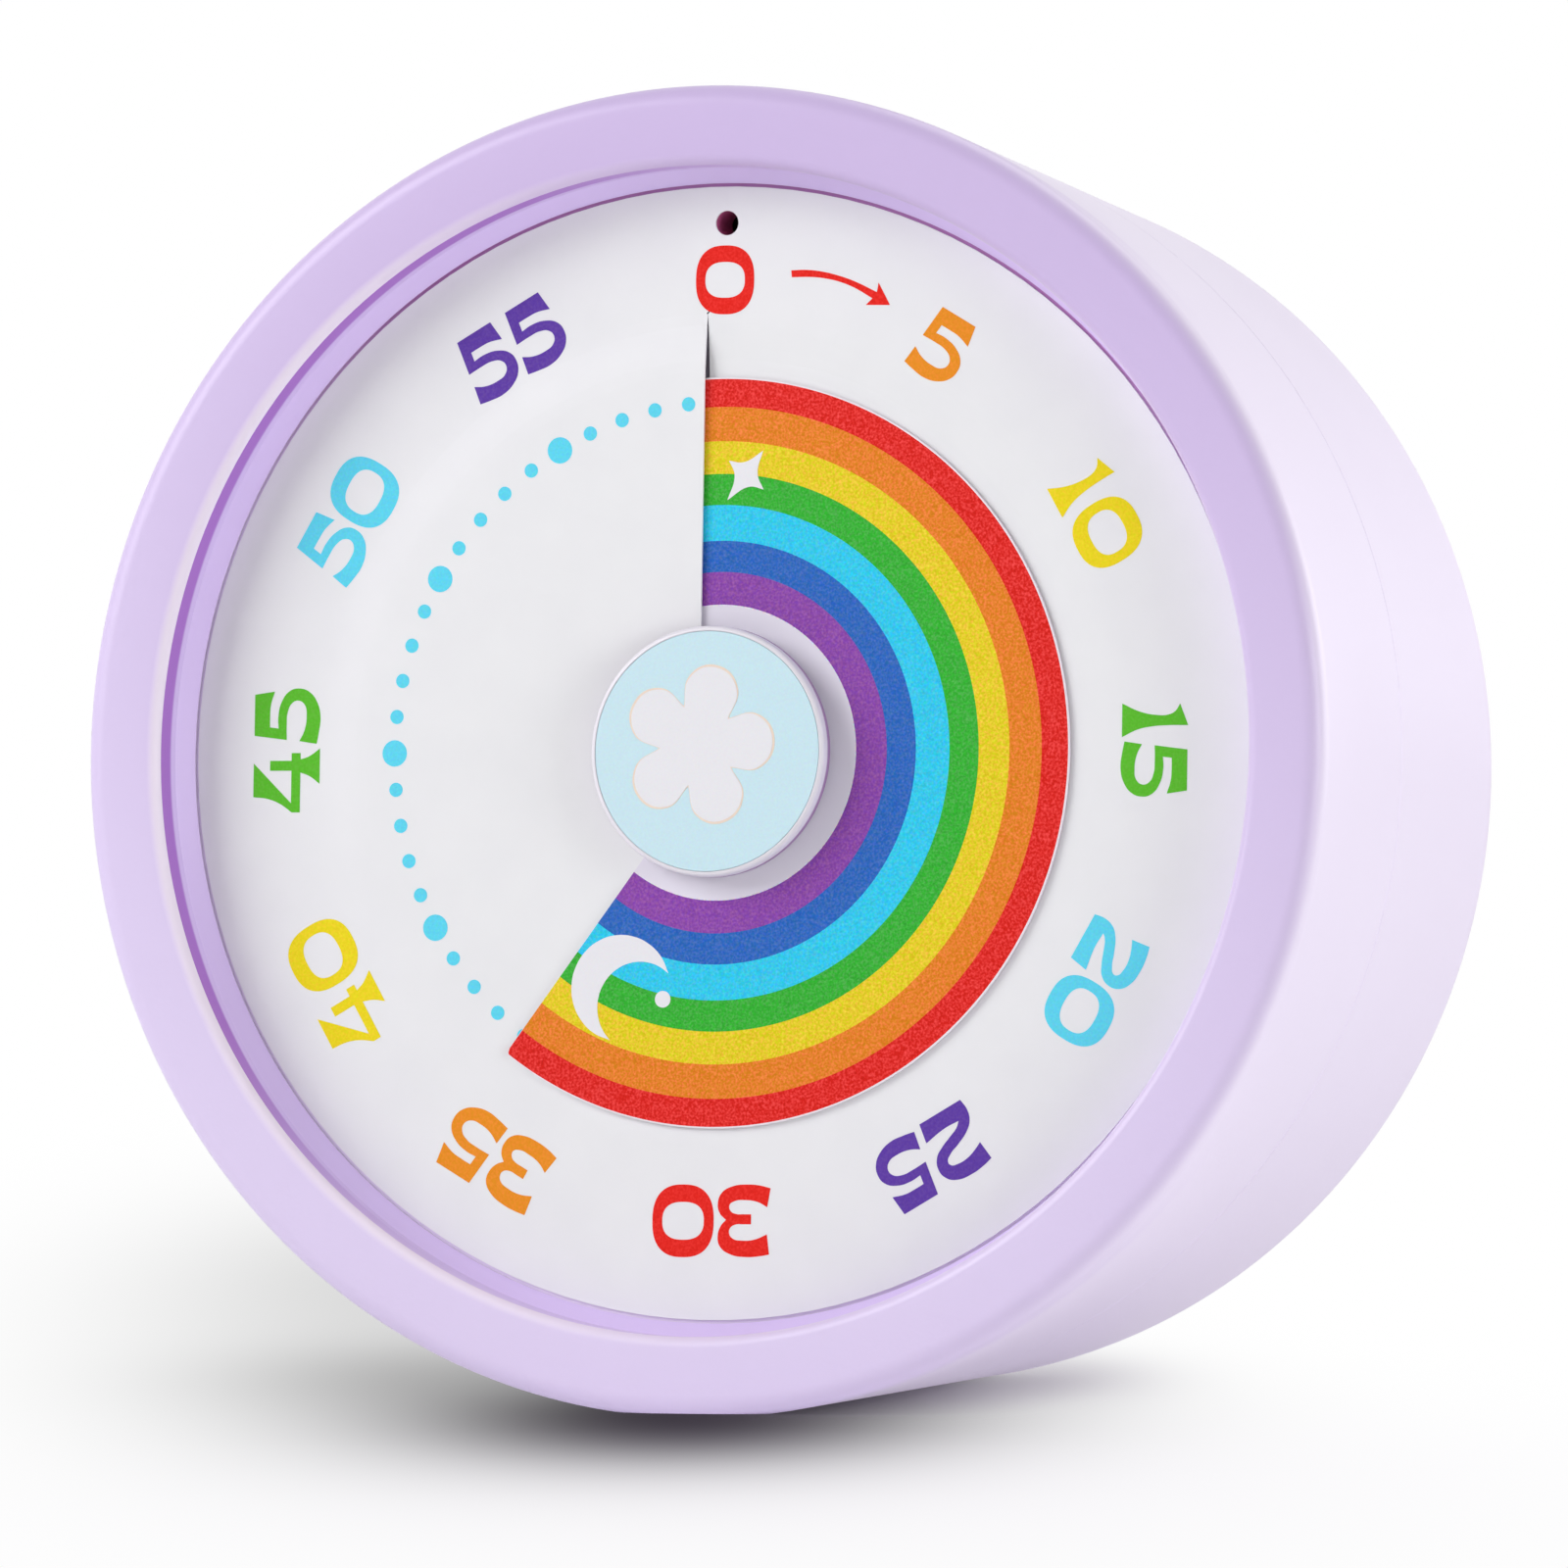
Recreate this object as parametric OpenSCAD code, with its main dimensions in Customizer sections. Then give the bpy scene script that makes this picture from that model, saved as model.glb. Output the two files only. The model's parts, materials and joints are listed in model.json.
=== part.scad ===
// Visual countdown timer: a round table timer with a split dial and a split rainbow disc.
//
// Every piece is drawn in the case's own frame: x right, y up the dial, z out of the dial towards
// the reader, with z = 0 on the front of the flat dial. standing() then tips the case back until
// its tapered side lies on the table, and puts the origin under the middle of its box.

/* [Case] */
// Radius of the rim, the widest place of the case
rim_r = 40; // [39.5:0.1:41]
// Radius of the case where its rear edge begins to round
back_r = 37.2; // [36.8:0.1:37.8]
// How far the front face stands in front of the dial
face_h = 3.8; // [3.4:0.1:4.4]
// Distance from the dial back to the line where the two shells part
parting_depth = 13.5; // [13.3:0.1:14]
// Thickness of the moulded walls
wall = 1.8; // [1.6:0.1:2]
// Rounding of the rim's outer edge
rim_fillet = 1.3; // [1:0.1:1.6]
// Rounding of the rim's inner lip
lip_fillet = 0.7; // [0.4:0.1:0.8]
// Rounding of the rear edge
back_fillet = 3.5; // [3:0.1:3.6]
// Radius of the upright inner wall of the rim
lip_r = 35.15; // [35:0.05:35.5]
// Depth of the standing flat that is moulded along the underside
flat_depth = 0.3; // [0.1:0.05:0.5]

/* [Dial and disc] */
// Radius of the dial sheet
dial_r = 34.1; // [33.8:0.1:34.2]
// Thickness of the dial and disc sheets
sheet_t = 0.16; // [0.12:0.01:0.18]
// Step of the sheets at the slit, which is also how far the disc rises in one turn
seam_step = 0.56; // [0.54:0.01:0.7]
// How far the slit lies to the left of the dial's centre line
slit_x = 1.15; // [0.8:0.05:1.4]
// Distance from the dial's centre line to the top end of the slit
slit_top_r = 26.5; // [26:0.1:26.6]
// Radius of the rainbow disc
disc_r = 22.6; // [21:0.1:23]
// Angle that the disc shows at rest, clockwise from the slit (6 degrees a minute)
set_angle = 216.7; // [90:0.1:300]
// Radius of the sound hole above the zero
sound_hole_r = 0.74; // [0.6:0.02:0.9]
// Distance of the sound hole from the centre of the dial
sound_hole_y = 31.9; // [31.5:0.1:32.2]

/* [Knob] */
// Radius of the knob
knob_r = 7.55; // [7.4:0.05:7.8]
// Height of the knob's face above the dial
knob_h = 2; // [1.9:0.1:2.4]
// Thickness of the knob
knob_t = 1.15; // [1.1:0.05:1.2]
// Radius of the spindle
spindle_r = 2.5; // [2.4:0.05:2.6]

/* [Battery] */
// Radius of the AAA cell
cell_r = 5.25; // [5:0.05:5.25]
// Length of the AAA cell with its button
cell_len = 44.5; // [43.5:0.1:44.5]
// Length left for the pressed contact spring, which with the cell sets the length of the bay
spring_len = 5.9; // [4.8:0.1:6.1]
// Room between the circuit board and the battery bay, which sets the depth of the case
bay_gap = 3.1; // [1.6:0.1:4.5]

/* [Fits] */
// Gap on the radius between a shaft and its bearing
running_gap = 0.05; // [0.03:0.01:0.08]
// Gap round a piece that is dropped into a seat
seat_gap = 0.1; // [0.05:0.01:0.15]
// Gap round a piece that slides or lifts out by hand
slide_gap = 0.2; // [0.15:0.01:0.25]

/* [Hidden] */
$fn = 96;
TINY = 0.01;

// Case
rim_z = face_h - rim_fillet;
board_z = [-19.2, -18];
bay_wall = 1.2;
bay_front_z = board_z[0] - bay_gap - bay_wall;
cell_z = bay_front_z - 0.35 - cell_r;
door_t = 1.2;
back_z = cell_z - cell_r - 1.05 - door_t;
back_round_z = back_z + back_fillet;
parting_z = -parting_depth;
lean = atan((rim_r - back_r) / (rim_z - back_round_z));
function case_r(z) = rim_r - (rim_z - z) * tan(lean);
ledge_r = 34.3;
ledge_z = -sheet_t;
cone_h = 1.1;
recess_r = slit_top_r + 0.1;
recess_z = -1.3;
web_z = -2.7;
channel_r = [lip_r + 1.15, rim_r - wall];
channel_z = face_h - 1.6;
tongue_h = 2;
tongue_t = 0.8;
boss_r = 3;
pad_r = 2.2;
sound_tube_r = 1.6;
boss_end_z = parting_z - 1;
screw_r = 1;
screw_head_h = 1.6;
screw_head_r = 2.1;
case_screw_at = [[24, 20], [-19, 25.5], [0, -30]];
screw_seat_z = boss_end_z - 7.5;
screw_tip_z = boss_end_z + 5;
pilot_tip_z = boss_end_z + 7.5;
column_r = 3.4;
well_r = 2.4;

// Where the origin lies: under the middle of the standing case's box
front_edge_y = -(rim_r - rim_fillet) * sin(lean) - rim_z * cos(lean) - rim_fillet;
rear_edge_y = (back_r - back_fillet) * sin(lean) - back_round_z * cos(lean) + back_fillet;
under_z = rim_r * cos(lean) - rim_z * sin(lean);
origin_shift = [0, -(front_edge_y + rear_edge_y) / 2, under_z - flat_depth];

// Sheets
lip_fade_r = 23;
disc_hole_r = 6.3;
disc_flat_r = disc_hole_r + 0.45;
dial_hole_r = disc_flat_r + 0.7;
disc_corner = 0.5;
slit_gap = 0.1;
sheet_steps = 120;
disc_mean_z = -sheet_t / 2 + seam_step * (set_angle - 180) / 360;

// Knob and spindle
hub_r = 5.5;
key_r = 6.1;
key_w = 1.6;
label_t = 0.1;
label_rim = 0.2;
knob_under_z = knob_h - knob_t;
socket_r = 3;
socket_top_z = 1.5;
hub_under_z = recess_z + 0.15;
bush_r = 4;
pivot_r = 1.2;
shaft_end_z = -9.4;
cam_r = 4.2;
lobe_r = 4.9;
cam_z = [-6, -5.2];

// Movement, front to back
cover_z = [-4.9, -3.7];
centre_wheel_z = [-7.4, -6.2];
clutch_z = [-8.2, -7.5];
clip_z = [-8.9, -8.3];
third_wheel_z = [-10.2, -9.2];
second_wheel_z = [-11.8, -11];
magnet_z = [-14.2, -12.6];
stator_z = [-13.8, -13];
back_plate_z = [-17, -15.8];
housing_x = [-28.5, 20];
housing_y = [-24, 22];
movement_screw_at = [[-25.6, 19.1], [17.2, -21.2]];
movement_column_r = 2.6;
head_well_r = 2;
arbor_r = 0.75;
blind_pivot = 0.6;
housing_wall = 1.2;
column_bore_tip_z = -1.8;

// Gears: 180 turns of the rotor to one of the centre wheel
module_slow = 0.4;
module_fast = 0.35;
centre_teeth = 72;
third_pinion_teeth = 12;
third_teeth = 60;
second_pinion_teeth = 10;
second_teeth = 50;
rotor_teeth = 10;
pressure_angle = 25;
addendum = 0.8;
dedendum = 1;
backlash = 0.06;
pinion_over = 0.3;

// Arbors: each pair of gears stands at its centre distance, in the direction given
third_dir = 150;
second_dir = -95;
rotor_dir = -60;
third_at = polar(module_slow * (centre_teeth + third_pinion_teeth) / 2, third_dir);
second_at = third_at + polar(module_slow * (third_teeth + second_pinion_teeth) / 2, second_dir);
rotor_at = second_at + polar(module_fast * (second_teeth + rotor_teeth) / 2, rotor_dir);

// Electrics
coil_at = [5.5, -19];
coil_len = 11;
stator_x = [rotor_at[0], coil_at[0] + coil_len / 2 + 2.6];
stator_arm_y = [rotor_at[1] + 1.24, rotor_at[1] + 3.24];
board_x = [-14, 19];
board_y = [-20, 25];
board_neck_x = [-7, 7];
board_screw_at = [[-10, 18], [14, -13]];
board_screw_r = 0.8;
buzzer_at = [0, sound_hole_y - 2.9];
buzzer_r = 6;
board_neck_y = buzzer_at[1] + buzzer_r + 0.3;
buzzer_h = 8.5;
strip_t = 0.4;

// Battery bay, its axis along x
button_h = 0.8;
button_r = 1.9;
contact_half = cell_r - 1.45;
cell_y = -7;
bay_x = (cell_len + spring_len) / 2 + strip_t;
bay_half_y = cell_r + 0.35;
door_lip = 0.8;
back_wall_z = back_z + 2;
switch_at = [12, 16];
switch_travel = 2.6;
nib_w = 2.6;
nib_d = 2.8;
switch_h = 3.6;
lead_r = 0.3;

function polar(r, a) = [r * cos(a), r * sin(a)];
// Points of an arc about (x, z), from angle a to angle b
function arc(x, z, r, a, b, n = 10) =
    [for (i = [0:n]) [x, z] + polar(r, a + (b - a) * i / n)];

module standing() translate(origin_shift) rotate([90 - lean, 0, 0]) children();

// A cylinder between two heights
module post(r, z) translate([0, 0, z[0]]) cylinder(r = r, h = z[1] - z[0]);

// A box between two values on each axis
module block(x, y, z) translate([x[0], y[0], z[0]]) cube([x[1] - x[0], y[1] - y[0], z[1] - z[0]]);

// A plate with round corners between two values on each axis
module rounded_plate(x, y, z, r) {
    block([x[0] + r, x[1] - r], y, z);
    block(x, [y[0] + r, y[1] - r], z);
    for (cx = [x[0] + r, x[1] - r], cy = [y[0] + r, y[1] - r])
        translate([cx, cy, 0]) post(r, z);
}

// ---- Shells ----------------------------------------------------------------------------------

module front_case_profile() {
    inner_fillet_x = lip_r + lip_fillet;
    polygon(concat(
        arc(rim_r - rim_fillet, rim_z, rim_fillet, 0, 90),
        arc(inner_fillet_x, face_h - lip_fillet, lip_fillet, 90, 180),
        [[lip_r, cone_h], [ledge_r, 0], [ledge_r, ledge_z], [recess_r, ledge_z],
         [recess_r, recess_z], [bush_r, recess_z], [bush_r, web_z],
         [channel_r[0], web_z], [channel_r[0], channel_z], [channel_r[1], channel_z],
         [case_r(web_z) - wall, web_z],
         [case_r(parting_z + tongue_h + 0.2) - wall, parting_z + tongue_h + 0.2],
         [rebate_r(), parting_z + tongue_h + 0.2], [rebate_r(), parting_z],
         [case_r(parting_z), parting_z]]));
}

function rebate_r() = case_r(parting_z) - wall + tongue_t + seat_gap;

module front_case() color("#d3c0e8") difference() {
    standing() difference() {
        union() {
            rotate_extrude() front_case_profile();
            for (p = case_screw_at) translate(p) post(boss_r, [boss_end_z, web_z + TINY]);
            for (p = movement_screw_at)
                translate(p) post(pad_r, [cover_z[1], web_z + TINY]);
            translate([0, sound_hole_y, 0])
                post(sound_tube_r, [board_z[1] + buzzer_h + 0.4, web_z + TINY]);
        }
        for (p = case_screw_at)
            translate(p) post(screw_r + running_gap, [boss_end_z - 1, pilot_tip_z]);
        for (p = movement_screw_at)
            translate(p) post(screw_r + running_gap, [cover_z[1] - 1, column_bore_tip_z]);
        translate([0, sound_hole_y, 0]) post(sound_hole_r, [board_z[1], 1]);
    }
    table();
}

// Everything below the table: what it takes off the tapered side is the standing flat
module table() translate([-rim_r, -rim_r, -rim_r]) cube([2 * rim_r, 2 * rim_r, rim_r]);

module rear_case_profile() {
    inner_r = back_r - wall;
    tongue_r = rebate_r() - seat_gap;
    polygon(concat(
        [[0, back_z]],
        arc(back_r - back_fillet, back_round_z, back_fillet, -90, 0),
        [[case_r(parting_z), parting_z], [tongue_r, parting_z],
         [tongue_r, parting_z + tongue_h], [tongue_r - tongue_t, parting_z + tongue_h],
         [tongue_r - tongue_t, parting_z]],
        arc(inner_r - 1.7, back_wall_z + 1.7, 1.7, 0, -90, 6),
        [[0, back_wall_z]]));
}

// A span as wide as the battery bay along x or y, widened at both ends
function bay_span_x(by) = [-bay_x - by, bay_x + by];
function bay_span_y(by) = [cell_y - bay_half_y - by, cell_y + bay_half_y + by];

module battery_bay() block(bay_span_x(bay_wall), bay_span_y(bay_wall),
    [back_wall_z - TINY, bay_front_z + bay_wall]);

module rear_case() color("#d3c0e8") difference() {
    standing() difference() {
        union() {
            rotate_extrude() rear_case_profile();
            battery_bay();
            for (p = case_screw_at) translate(p) post(column_r, [back_wall_z - TINY, boss_end_z]);
        }
        for (p = case_screw_at) translate(p) {
            post(well_r, [back_z - 1, screw_seat_z]);
            post(screw_r + seat_gap, [back_z - 1, boss_end_z + 1]);
        }
        block(bay_span_x(0), bay_span_y(0), [back_z - 1, bay_front_z]);
        rounded_plate(bay_span_x(door_lip), bay_span_y(door_lip),
            [back_z - 1, back_z + door_t], 1.5);
        for (side = [-1, 1]) contact_slot(side);
        switch_window();
        sound_slots();
        finger_notch();
    }
    table();
}

// Slot in the bay's front wall for the leg of a battery contact
module contact_slot(side) translate([side * (bay_x - 0.4), cell_y, bay_front_z + bay_wall / 2])
    cube([1.2, 3.4, bay_wall + 1], center = true);

module switch_window() translate([switch_at[0], switch_at[1], back_z])
    cube([switch_travel + nib_w + 2 * slide_gap, nib_d + 2 * slide_gap, 6], center = true);

module sound_slots() for (i = [-3:3]) translate([i * 2.6, buzzer_at[1], back_z])
    cube([1.2, buzzer_r + 1 - abs(i), 6], center = true);

// Dip beside the battery door for a fingernail
module finger_notch() translate([0, cell_y + bay_half_y + door_lip + 1, back_z - 1.2])
    rotate([0, 90, 0]) cylinder(r = 2, h = 14, center = true);

module case_screws() color("silver") standing() for (p = case_screw_at) translate(p)
    screw(screw_r, screw_head_r, [screw_seat_z - screw_head_h, screw_seat_z, screw_tip_z]);

// A cross-head screw that points up z, with its head's face, its seat and its tip at the heights z
module screw(shank_r, head_r, z) difference() {
    union() {
        post(shank_r, [z[1] - TINY, z[2]]);
        post(head_r, [z[0], z[1]]);
    }
    for (a = [0, 90]) rotate([0, 0, a]) translate([0, 0, z[0]]) cube([2, 0.5, 1.4], center = true);
}

// ---- Split sheets ----------------------------------------------------------------------------

// A thin ring cut along one line and twisted like one turn of a screw thread. Each ring of points
// has a radius, the angle of its cut clockwise from the top, the width of the cut in degrees and
// its share of the twist. A ring with no cut closes on itself. The outer ends of the cut can be
// rounded by corner.
module split_sheet(radii, cut_at, cut_width, twist, mid_z, corner = 0) {
    rings = len(radii);
    rim = radii[rings - 1];
    corner_turn = corner / (2 * PI * rim);
    corner_turns = corner > 0 ? [for (k = [0:0.25:0.9]) k * corner_turn] : [0];
    turns = concat(corner_turns, [for (i = [1:sheet_steps - 1]) i / sheet_steps],
        [for (k = [len(corner_turns) - 1:-1:0]) 1 - corner_turns[k]]);
    n = len(turns) - 1;
    function corner_loss(turn) = let (away = min(turn, 1 - turn) * 2 * PI * rim)
        away < corner ? corner - sqrt(corner ^ 2 - (corner - away) ^ 2) : 0;
    function radius(j, turn) = radii[j] - (j == rings - 1 ? corner_loss(turn) : 0);
    points = [for (side = [-1, 1], j = [0:rings - 1], turn = turns)
        let (a = cut_at[j] + cut_width[j] / 2 + (360 - cut_width[j]) * turn)
        [radius(j, turn) * sin(a), radius(j, turn) * cos(a),
         mid_z + twist[j] * seam_step * (turn - 0.5) + side * sheet_t / 2]];
    function closed(j) = cut_width[j] == 0;
    function id(side, j, i) = (side * rings + j) * (n + 1) + (closed(j) && i == n ? 0 : i);
    cut_bands = [for (j = [0:rings - 2]) if (!(closed(j) && closed(j + 1))) j];
    faces = concat(
        [for (j = [0:rings - 2], i = [0:n - 1])
            [id(0, j, i), id(0, j, i + 1), id(0, j + 1, i + 1), id(0, j + 1, i)]],
        [for (j = [0:rings - 2], i = [0:n - 1])
            [id(1, j, i), id(1, j + 1, i), id(1, j + 1, i + 1), id(1, j, i + 1)]],
        [for (i = [0:n - 1]) [id(0, 0, i), id(1, 0, i), id(1, 0, i + 1), id(0, 0, i + 1)]],
        [for (i = [0:n - 1], j = [rings - 1])
            [id(0, j, i), id(0, j, i + 1), id(1, j, i + 1), id(1, j, i)]],
        [for (j = cut_bands) [id(0, j, 0), id(0, j + 1, 0), id(1, j + 1, 0), id(1, j, 0)]],
        [for (j = cut_bands) [id(0, j, n), id(1, j, n), id(1, j + 1, n), id(0, j + 1, n)]]);
    polyhedron(points, [for (f = faces) each halves(f)]);
}

// A four-cornered face as two triangles, leaving out one that a shared corner makes flat
function halves(f) = [for (t = [[f[0], f[1], f[2]], [f[0], f[2], f[3]]])
    if (t[0] != t[1] && t[1] != t[2] && t[0] != t[2]) t];

// Share of the twist left at radius r, easing to none at the top of the slit
function lip_share(r) = let (t = min(1, max(0, (r - lip_fade_r) / (slit_top_r - lip_fade_r))))
    1 - t * t * (3 - 2 * t);

function cut_degrees(r) = slit_gap / r * 180 / PI;

module dial_sheet() color("white") standing() difference() {
    fade = [for (k = [0:5]) lip_fade_r + (slit_top_r - lip_fade_r) * k / 5];
    radii = concat([dial_hole_r, 15], fade, [dial_r]);
    split_sheet(radii, [for (r = radii) -asin(slit_x / r)],
        [for (r = radii) r < slit_top_r ? cut_degrees(r) : 0],
        [for (r = radii) lip_share(r)], -sheet_t / 2);
    translate([0, sound_hole_y, 0]) post(sound_hole_r, [-1, 1]);
    translate([-slit_x, slit_top_r, -1]) rotate([0, 0, 45]) translate([-0.1, -0.05, 0])
        cube([0.4, 0.1, 2]);
}

module rainbow_disc() color("#e83020") standing() {
    radii = [disc_hole_r, disc_flat_r, dial_hole_r - 0.2, 15, disc_r];
    split_sheet(radii, [for (r = radii) set_angle - 360],
        [for (r = radii) r > disc_flat_r ? cut_degrees(r) : 0],
        [for (r = radii) r > disc_flat_r ? 1 : 0], disc_mean_z, disc_corner);
}

// Two opposite bars of width w that reach out to the radius reach
module key_bars(w, reach) rotate([0, 0, -set_angle])
    translate([-reach, -w / 2, -10]) cube([2 * reach, w, 20]);

// Ring that carries the disc: it turns with the spindle's keys and slides along them
module disc_hub() color("white") standing() difference() {
    union() {
        post(disc_flat_r, [disc_mean_z - 0.6, disc_mean_z - sheet_t / 2]);
        post(disc_hole_r - 0.05, [disc_mean_z - 0.6, disc_mean_z + sheet_t / 2]);
    }
    post(hub_r + running_gap, [-5, 5]);
    key_bars(key_w + 2 * running_gap, key_r + running_gap);
}

// ---- Knob and spindle ------------------------------------------------------------------------

module knob() color("white") standing() difference() {
    rotate_extrude() polygon(concat(
        [[0, knob_under_z], [knob_r - 0.1, knob_under_z], [knob_r, knob_under_z + 0.1]],
        arc(knob_r - 0.3, knob_h - 0.3, 0.3, 0, 90, 5), [[0, knob_h]]));
    post(knob_r - label_rim - 0.05, [knob_h - label_t, knob_h + 1]);
    post(socket_r + 0.02, [-1, socket_top_z]);
}

module knob_label() color("#bee4f0") standing()
    post(knob_r - label_rim - 0.1, [knob_h - label_t, knob_h]);

module spindle() color("#c8ccd0") standing() difference() {
    union() {
        post(socket_r, [knob_under_z - TINY, socket_top_z]);
        post(hub_r, [hub_under_z, knob_under_z]);
        intersection() {
            key_bars(key_w, key_r + 1);
            post(key_r, [hub_under_z, knob_under_z]);
        }
        post(spindle_r, [shaft_end_z, hub_under_z + TINY]);
        post(cam_r, cam_z);
        intersection() {
            rotate([0, 0, 90 - set_angle]) block([0, lobe_r + 1], [-0.6, 0.6], grown(cam_z, 1));
            post(lobe_r, cam_z);
        }
        post(pivot_r, [back_plate_z[0] + blind_pivot, shaft_end_z + TINY]);
    }
    difference() {
        post(spindle_r + 1, [clip_z[0] - 0.05, clip_z[1] + 0.05]);
        post(spindle_r - 0.5, [clip_z[0] - 1, clip_z[1] + 1]);
    }
}

module spindle_bush() color("#c9a227") standing() difference() {
    union() {
        post(bush_r - 0.02, [web_z - TINY, recess_z]);
        post(bush_r + 1.2, [cover_z[1] + 0.3, web_z]);
    }
    post(spindle_r + running_gap, [-10, 10]);
}

module clutch_spring() color("#b0b4b8") standing() rotate_extrude()
    polygon([[spindle_r + running_gap, clutch_z[0]], [spindle_r + 1.2, clutch_z[0]],
             [5.5, clutch_z[1] - 0.3], [5.5, clutch_z[1] + 0.05], [4.4, clutch_z[1] + 0.05],
             [spindle_r + running_gap, clutch_z[0] + 0.3]]);

module retaining_clip() color("#777c80") standing() difference() {
    post(4, clip_z);
    post(spindle_r - 0.45, [clip_z[0] - 1, clip_z[1] + 1]);
    translate([0, -1.6, clip_z[0] - 1]) cube([6, 3.2, 3]);
}

// ---- Gear train ------------------------------------------------------------------------------

function involute(a) = tan(a) - a * PI / 180;

// Half the angle that a tooth fills at radius r
function half_tooth(r, teeth, m) =
    let (pitch_r = m * teeth / 2, base_r = pitch_r * cos(pressure_angle))
    90 / teeth - backlash / (4 * pitch_r) * 180 / PI
    + (involute(pressure_angle) - involute(acos(base_r / max(r, base_r)))) * 180 / PI;

// Outline of a gear with a tooth at angle phase
module gear_outline(teeth, m, phase) {
    pitch_r = m * teeth / 2;
    foot_r = pitch_r - dedendum * m;
    tip_r = pitch_r + addendum * m;
    start_r = max(foot_r, pitch_r * cos(pressure_angle));
    flank = [foot_r - TINY, start_r, (start_r + tip_r) / 2, tip_r];
    polygon([for (k = [0:teeth - 1], side = [-1, 1], i = [0:3])
        let (r = flank[side < 0 ? i : 3 - i])
        polar(r, phase + 360 * k / teeth + side * half_tooth(r, teeth, m))]);
}

module gear(teeth, m, z, phase) translate([0, 0, z[0]]) linear_extrude(z[1] - z[0])
    gear_outline(teeth, m, phase);

function grown(z, by) = [z[0] - by, z[1] + by];

module lightening_holes(count, r, at, z) for (k = [0:count - 1]) rotate([0, 0, 360 * k / count])
    translate([at, 0, 0]) post(r, grown(z, 1));

module arbor(z) post(arbor_r, z);

pivot_span = [back_plate_z[0] + blind_pivot, cover_z[0] + blind_pivot];

module centre_wheel() color("#e8e2d0") standing() difference() {
    gear(centre_teeth, module_slow, centre_wheel_z, third_dir);
    post(spindle_r + running_gap, grown(centre_wheel_z, 1));
    lightening_holes(5, 2.6, 9, centre_wheel_z);
}

module third_wheel() color("#e8e2d0") standing() translate(third_at) {
    gear(third_pinion_teeth, module_slow, grown(centre_wheel_z, pinion_over),
         third_dir + 180 + 180 / third_pinion_teeth);
    difference() {
        gear(third_teeth, module_slow, third_wheel_z, second_dir);
        lightening_holes(5, 2.2, 7.4, third_wheel_z);
    }
    post(1.6, [third_wheel_z[0], centre_wheel_z[0]]);
    arbor(pivot_span);
}

module second_wheel() color("#e8e2d0") standing() translate(second_at) {
    gear(second_pinion_teeth, module_slow, grown(third_wheel_z, pinion_over),
         second_dir + 180 + 180 / second_pinion_teeth);
    difference() {
        gear(second_teeth, module_fast, second_wheel_z, rotor_dir);
        lightening_holes(4, 1.8, 5.4, second_wheel_z);
    }
    post(1.4, [second_wheel_z[0], third_wheel_z[0]]);
    arbor(pivot_span);
}

module rotor() color("#6a6e74") standing() translate(rotor_at) {
    gear(rotor_teeth, module_fast, grown(second_wheel_z, pinion_over),
         rotor_dir + 180 + 180 / rotor_teeth);
    post(2.6, magnet_z);
    arbor(pivot_span);
}

module stator() color("#9aa0a6") standing() difference() {
    union() {
        translate(rotor_at) post(5.2, stator_z);
        block(stator_x, stator_arm_y, stator_z);
        block([stator_x[1] - 1.6, stator_x[1]], [coil_at[1] - 1, stator_arm_y[1]], stator_z);
        block(stator_x, [coil_at[1] - 1, coil_at[1] + 1], stator_z);
    }
    translate(rotor_at) post(3, grown(stator_z, 1));
}

module coil() color("#b5562b") standing() difference() {
    translate([coil_at[0], coil_at[1], (stator_z[0] + stator_z[1]) / 2]) rotate([0, 90, 0]) {
        cylinder(r = 2, h = coil_len, center = true);
        for (side = [-1, 1]) translate([0, 0, side * (coil_len / 2 - 0.4)])
            cylinder(r = 2.35, h = 0.8, center = true);
        for (side = [-1, 1]) translate([0, 0, side * (coil_len / 2 - 0.4)])
            rotate([0, 90, 0]) cylinder(r = lead_r, h = board_pin_len());
    }
    block(stator_x, [coil_at[1] - 1.05, coil_at[1] + 1.05], grown(stator_z, 0.05));
}

function board_pin_len() = (stator_z[0] + stator_z[1]) / 2 - board_z[1];

// ---- Movement case ---------------------------------------------------------------------------

module pivot_bores(z) for (p = [third_at, second_at, rotor_at])
    translate(p) post(arbor_r + running_gap, z);

module movement_cover() color("#e6e8ea") standing() difference() {
    rounded_plate(housing_x, housing_y, cover_z, 3);
    post(spindle_r + 0.4, grown(cover_z, 1));
    pivot_bores([cover_z[0] - 1, cover_z[0] + blind_pivot + 0.1]);
    for (p = movement_screw_at) translate(p) post(screw_r + seat_gap, grown(cover_z, 1));
}

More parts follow.
